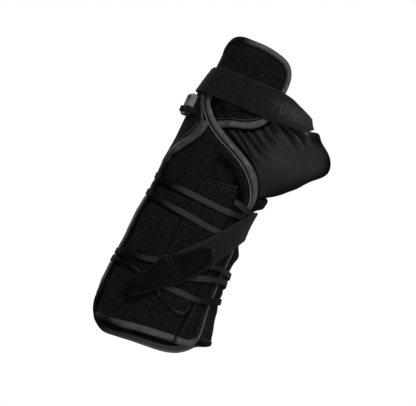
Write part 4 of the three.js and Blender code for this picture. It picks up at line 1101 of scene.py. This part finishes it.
def make_lace(name, seed, twist=None):
    """A flat lace along its line. twist gives (first th, last th, share of its width that shows) where it rolls over."""
    path, th, z, off = lace_lines[name]
    n = form_normal(th, z)
    side = unit(np.cross(unit(np.gradient(path, axis=0)), n))
    a, h = flat_profile(LACE_WIDTH, LACE_THICK)
    k = len(a)
    roll = 0.10 * noise(path, 16, seed)[:, None] + 0.05 * noise(path, 5, seed + 1)[:, None]
    wide = 1 + 0.07 * noise(path, 9, seed + 2)
    if twist:
        wide = wide * (1 - (1 - twist[2]) * smooth(twist[0], twist[0] + 12, th) * (1 - smooth(twist[1] - 14, twist[1], th)))
    tt, zz = slide(np.repeat(th[:, None], k, 1), np.repeat(z[:, None], k, 1), side[:, None, :] * (a[None, :] * wide[:, None])[..., None])
    thick = 1 + 0.35 * np.clip(1 - wide, 0, 1)
    pts = skin(tt, zz, off[:, None] + h[None, :] * thick[:, None] + roll * a[None, :] * 0.5 - 0.05 * (a[None, :] / 2.5) ** 2)
    turn = (th + 180) % 360 - 180
    swing = smooth(0, 45, turn)  # 0 on the camera side, 1 over the palm
    across = picture(path)[..., 0]
    # painted shade along the lace: dark where it comes from the little-finger edge, on the lower lace towards its
    # right, on the upper lace towards the thumb side, over the palm side and at its edges, with some random variation
    painted_shade_zone = np.where(z < 62, 0.5 * smooth(190, 196, across) + 0.4 * smooth(196, 203, across), 0.55 * smooth(-64, -42, turn))
    painted_dimming = (1 - smooth(-143, -98, turn) + painted_shade_zone) * (1 - swing) + (0.3 + 0.7 * smooth(105, 172, turn)) * swing + 0.22 * noise(path, 13, seed + 3)
    painted_dimming = np.clip(painted_dimming[:, None] + 0.35 * np.abs(a[None, :] / (LACE_WIDTH / 2)) ** 4, 0, 0.99)
    return dress(strip(name + "_woven", pts, values={"painted_dimming": painted_dimming}), LACE, "webbing", name)


upper = make_lace("upper_lace", 61)
lower = make_lace("lower_lace", 66, (562, 630, 0.45))

# ------------------------------------------------------------------ pull strap and tab
nv, nu = 150, 22
v = np.linspace(0, 1, nv + 1)
r = row(PULL_STRAP, v)
u = np.linspace(0, 1, nu + 1)[None, :]
th, z, off = r[:, 0:1] + (r[:, 2:3] - r[:, 0:1]) * u, r[:, 1:2] + (r[:, 3:4] - r[:, 1:2]) * u, r[:, 4:5] + 0 * u
base = skin(th, z, off)
across = np.minimum(u, 1 - u) * 23.0 + 0 * off
lip = 0.16 * np.exp(-((across / 0.9) ** 2))
sway = 0.16 * noise(base, 14, 71) + 0.08 * noise(base, 5, 72)
pull_out = skin(th, z, off + PULL_THICK * (0.72 + 0.28 * smooth(0, 0.8, across)) + sway + lip)
pull_in = skin(th, z, off + sway * 0.6)
edge = np.exp(-((across / 1.0) ** 2))
pull = dress(shell("pull_strap_web", pull_out, pull_in, values={"edge": edge, "dust": 0.2 + 0 * edge}), STRAP, "webbing", "pull_strap")

nv, nu = 110, 40
v = np.linspace(0, 1, nv + 1)
r = row(PULL_TAB, v)
u = np.linspace(0, 1, nu + 1)[None, :]
th, z = r[:, 0:1] + (r[:, 2:3] - r[:, 0:1]) * u, r[:, 1:2] + (r[:, 3:4] - r[:, 1:2]) * u
base = skin(th, z, np.full(th.shape, TAB_OUT))
d = edge_distance(base)
sway = 0.22 * noise(base, 15, 75) + 0.07 * noise(base, 5, 76)
tab_out = skin(th, z, TAB_OUT - 0.75 * (1 - smooth(0, 1.4, d)) + sway * smooth(0, 3, d))
tab_in = skin(th, z, TAB_IN + 0.25 * (1 - smooth(0, 1.4, d)) + sway * 0.5)
tab = dress(shell("pull_tab_hook", tab_out, tab_in, bulge=0.25, values={"edge": np.exp(-((d / 0.9) ** 2))}), HOOK, "hook_tab", "pull_tab")

# ------------------------------------------------------------------ hand strap, ring and loop
ring_at = skin(RING["th"], RING["z"], RING["off"])
ring_out = unit(form_normal(RING["th"], RING["z"]) * np.array([1, 1, 0]))
ring_front = np.array([-ring_out[1], ring_out[0], 0.0])


def by_ring(a, h, z):
    p = ring_at + a * ring_front + h * ring_out
    return np.array([p[0], p[1], z])


def sections_of_strap():
    low, high = [], []
    for a, lo, hi, o, top in STRAP_TAIL:
        low.append(skin(a, lo, o)), high.append(skin(a, hi, top))
    for s in STRAP_WEB:
        low.append(np.array(s[:3], float)), high.append(np.array(s[3:], float))
    for a, lo, hi, o in STRAP_PALM:
        low.append(skin(a, lo, o)), high.append(skin(a, hi, o))
    for a, h in STRAP_END:
        low.append(by_ring(a, h, STRAP_END_Z[0])), high.append(by_ring(a, h, STRAP_END_Z[1]))
    return np.array(low), np.array(high)


low, high = sections_of_strap()
low, high = catmull(low, 360), catmull(high, 360)
u = np.linspace(0, 1, 25)[None, :, None]
inner = low[:, None] + (high - low)[:, None] * u
run = np.gradient(low + high, axis=0)
n_strap = unit(np.cross(run, high - low))
mid = (low + high) / 2
width = np.linalg.norm(high - low, axis=-1)[:, None]
across = np.minimum(u[..., 0], 1 - u[..., 0]) * width
sway = 0.22 * noise(inner, 15, 81) + 0.1 * noise(inner, 6, 82)
bow = 0.35 * np.sin(u[..., 0] * math.pi)
thinned = smooth(0.78, 0.84, np.linspace(0, 1, len(inner)))[:, None]
sway, bow = sway * (1 - 0.9 * thinned), bow * (1 - 0.9 * thinned)
thick = (STRAP_THICK + (STRAP_END_THICK - STRAP_THICK) * thinned) * (0.7 + 0.3 * smooth(0, 0.9, across)) + 0.14 * np.exp(-((across / 0.9) ** 2))
strap_in = inner + n_strap[:, None] * (sway * 0.6 + bow * 0.5)[..., None]
strap_out = inner + n_strap[:, None] * (thick + sway + bow * 0.5)[..., None]
px = picture(strap_out)
front = (n_strap @ CAM_BACK > 0)[:, None]
run, over = px[..., 0] - 291, px[..., 1] - 112.5
run, over = 0.86 * run + 0.5 * over, 0.86 * over - 0.5 * run
spot = np.exp(-((run / 19) ** 2 + (over / 9) ** 2)) + 0.5 * np.exp(-(((run + 3) / 8) ** 2 + ((over + 1) / 4) ** 2))
dust = np.clip(spot * front * 0.95 + 0.06, 0, 1)
hand_strap = dress(shell("hand_strap_web", strap_out, strap_in, values={"edge": np.exp(-((across / 1.0) ** 2)), "dust": dust}), STRAP, "webbing", "hand_strap")

# ring: a rounded bar along a rounded rectangle
hw, hl = (RING["wide"] - RING["bar"]) / 2, (RING["long"] - RING["bar"]) / 2
corner = 1.6
path = []
for cy, cz, a0 in ((hw - corner, hl - corner, 0), (-hw + corner, hl - corner, 90), (-hw + corner, -hl + corner, 180), (hw - corner, -hl + corner, 270)):
    for a in np.radians(np.linspace(a0, a0 + 90, 9)):
        path.append((cy + corner * math.cos(a), cz + corner * math.sin(a)))
path = np.array(path)
path = np.concatenate([path, path[:1]])
fine = []
for a, b in zip(path[:-1], path[1:]):
    k = max(1, int(np.linalg.norm(b - a) / 0.8))
    fine += [a + (b - a) * i / k for i in range(k)]
path = np.array(fine)
n = len(path)
tan = unit(np.roll(path, -1, 0) - np.roll(path, 1, 0))
outw = np.stack([tan[:, 1], -tan[:, 0]], -1)
a = np.arange(16) / 16 * 2 * math.pi
ca, sa = np.sign(np.cos(a)) * np.abs(np.cos(a)) ** 0.5, np.sign(np.sin(a)) * np.abs(np.sin(a)) ** 0.5
yz = path[:, None] + outw[:, None] * (ca * RING["bar"] / 2)[None, :, None]
pts = (ring_at + yz[..., :1] * ring_front + yz[..., 1:] * np.array([0.0, 0.0, 1.0])
       + np.broadcast_to(sa * RING["thick"] / 2, yz.shape[:2])[..., None] * ring_out)
idx = np.arange(n * 16).reshape(n, 16)
n1, n2 = np.roll(idx, -1, 0), np.roll(idx, -1, 1)
n3 = np.roll(n1, -1, 1)
# painted shade on the ring's lower end and down one side bar
ring = dress(add_mesh("strap_ring_moulded", pts.reshape(-1, 3), [np.stack([idx, n2, n3, n1], -1).reshape(-1, 4)],
                      values={"painted_dimming": np.clip(0.9 * (1 - smooth(184.3, 185.3, pts[..., 2])) + 0.85 * (1 - smooth(-4.4, -3.6, yz[..., 0])), 0, 0.95)}), PLASTIC, "ring_plastic", "strap_ring")

lo = np.array([by_ring(a, h, LOOP_Z - LOOP_WIDTH / 2) for a, h in RING_LOOP])
hi = np.array([by_ring(a, h, LOOP_Z + LOOP_WIDTH / 2) for a, h in RING_LOOP])
lo, hi = catmull(lo, 60), catmull(hi, 60)
u = np.linspace(0, 1, 15)[None, :, None]
inner = lo[:, None] + (hi - lo)[:, None] * u
n_loop = unit(np.cross(np.gradient(lo + hi, axis=0), hi - lo))
across = np.minimum(u[..., 0], 1 - u[..., 0]) * LOOP_WIDTH + 0 * inner[..., 0]
loop_out = inner + n_loop[:, None] * (LOOP_THICK * (0.6 + 0.4 * smooth(0, 0.7, across)))[..., None]
edge = np.exp(-((across / 0.9) ** 2))
ring_loop = dress(shell("ring_loop_web", loop_out, inner, values={"edge": edge, "dust": 0 * edge}), STRAP, "webbing", "ring_loop")

# ------------------------------------------------------------------ stitching
def on_grid(grid, places, count=60):
    """Rows and columns of a grid's points nearest to evenly spaced places of the picture."""
    line = resample(np.column_stack([np.array(places, float), np.zeros(len(places))]), count=count)[:, :2]
    _, _, k = to_line(line, picture(grid).reshape(-1, 2))
    return np.unravel_index(k, grid.shape[:2])


dark, light = [], []
for pts, n, seed in ((forearm_pts, forearm_n, 1), (back_pts, back_n, 2), (hand_pts, hand_n, 3)):
    dark += dashes(pts[:, 5] + n * 0.12, n, 2.6, 1.9, 0.24, 0.16, 0.04, seed)
# pocket: a row of stitches down each side, and two wavering rows across the top
g, nr = pocket_out, grid_normals(pocket_out, False)
if (nr * CAM_BACK).sum() < 0:
    nr = -nr
for i in (4, -5):
    dark += dashes(g[:, i] + nr[:, i] * 0.1, nr[:, i], 2.8, 2.0, 0.22, 0.18, 0.06, 5 + i)
s = np.linspace(0, 1, 160)
for base_row, seed in ((5, 7), (1.5, 8)):
    j = len(g) - 1 - np.clip(base_row + 0.6 * np.interp(s, np.linspace(0, 1, waver.shape[1]), waver[0]), 0, 20).round().astype(int)
    i = (s * (g.shape[1] - 1)).round().astype(int)
    line = soften(g[j, i], 3.0)
    dark += dashes(line + nr[j, i] * 0.12, nr[j, i], 2.7, 2.2, 0.22, 0.15, 0.05, seed)
# tab: the double row across it, joined at its lower end, and a loose thread's end
nt = grid_normals(tab_out, False)
if (nt * CAM_BACK).sum() < 0:
    nt = -nt
for places, seed in ((((166, 256), (171, 268), (176, 279.5)), 11), (((170, 254.5), (175, 266.5), (179.5, 277.5)), 12), (((176, 279.5), (179.5, 277.5)), 13)):
    j, i = on_grid(tab_out, places, 12 if seed == 13 else 60)
    line = soften(tab_out[j, i], 1.0 if seed == 13 else 3.0)
    light += dashes(line + nt[j, i] * 0.12, nt[j, i], 2.2, 1.75, 0.22, 0.12, 0.03, seed)
j, i = on_grid(tab_out, ((160.5, 256.5), (163.5, 255.2), (167, 254.8)), 24)
light.append(tube(soften(tab_out[j, i], 3.0) + nt[j, i] * 0.15, nt[j, i], 0.26))
# sleeve hem
j = int(0.948 * rows)
dark += dashes(np.concatenate([sleeve_out[j], sleeve_out[j, :1]]), np.concatenate([nrm[j], nrm[j, :1]]), 2.4, 1.7, 0.2, 0.12, 0.03, 14)
stitch_dark = dress(joined("edge_stitches", dark), THREAD_DARK, "edge_tape")
stitch_light = dress(joined("pale_stitches", light), THREAD_LIGHT, "edge_tape")

# ------------------------------------------------------------------ floor, light, camera
bpy.ops.mesh.primitive_circle_add(vertices=96, radius=3.0, fill_type="NGON", location=(0, 0, -0.26))
floor = bpy.context.object
floor.name = "floor"
pale = Mat("pale_floor", Roughness=0.9, Specular_IOR_Level=0.1)
pale.finish(pale.mix(pale.noise(6, 2, 0.5), (0.42, 0.42, 0.42, 1), (0.46, 0.46, 0.46, 1)))
floor.data.materials.append(pale.mat)

world = bpy.data.worlds.new("studio")
bpy.context.scene.world = world
world.use_nodes = True
wt = world.node_tree
wt.nodes.clear()
w_out, w_light, w_back = wt.nodes.new("ShaderNodeOutputWorld"), wt.nodes.new("ShaderNodeBackground"), wt.nodes.new("ShaderNodeBackground")
w_mix, w_ray = wt.nodes.new("ShaderNodeMixShader"), wt.nodes.new("ShaderNodeLightPath")
w_light.inputs[0].default_value, w_light.inputs[1].default_value = (1, 1, 1, 1), 0.22
w_back.inputs[0].default_value, w_back.inputs[1].default_value = (1, 1, 1, 1), 1.0
wt.links.new(w_ray.outputs["Is Camera Ray"], w_mix.inputs[0])
wt.links.new(w_light.outputs[0], w_mix.inputs[1])
wt.links.new(w_back.outputs[0], w_mix.inputs[2])
wt.links.new(w_mix.outputs[0], w_out.inputs[0])


def area_light(name, at, to, size, power):
    light = bpy.data.lights.new(name, "AREA")
    light.shape, light.size, light.energy = "DISK", size, power
    obj = bpy.data.objects.new(name, light)
    back_ = unit(np.array(at, float) - np.array(to, float))
    side_ = unit(np.cross([0, 0, 1], back_))
    up_ = np.cross(back_, side_)
    obj.matrix_world = Matrix([[side_[k], up_[k], back_[k], at[k]] for k in range(3)] + [[0, 0, 0, 1]])
    collection.objects.link(obj)


area_light("key", (-0.15, -1.4, 0.95), (0.01, 0, 0.02), 0.8, 22)
area_light("fill", (1.1, -1.2, 0.1), (0.0, 0, 0.0), 0.8, 8)
area_light("back_right", (1.1, 1.0, 0.8), (0.0, 0, 0.02), 0.9, 14)
area_light("back_left", (-1.0, 1.15, 0.7), (0.0, 0, 0.02), 0.9, 14)

cam = bpy.data.cameras.new("camera")
cam.lens, cam.sensor_width = CAM_PX * 36 / 416, 36
cam.clip_start, cam.clip_end = 0.05, 30
camera = bpy.data.objects.new("camera", cam)
c, n = math.cos(CAM_ROLL), math.sin(CAM_ROLL)
right, upward = CAM_R * c + CAM_U * n, CAM_U * c - CAM_R * n
at = (CAM_AT + SHIFT) * MM
camera.matrix_world = Matrix([[right[k], upward[k], CAM_BACK[k], at[k]] for k in range(3)] + [[0, 0, 0, 1]])
collection.objects.link(camera)
bpy.context.scene.camera = camera
bpy.context.scene.view_settings.view_transform = "Standard"

bpy.context.view_layer.update()
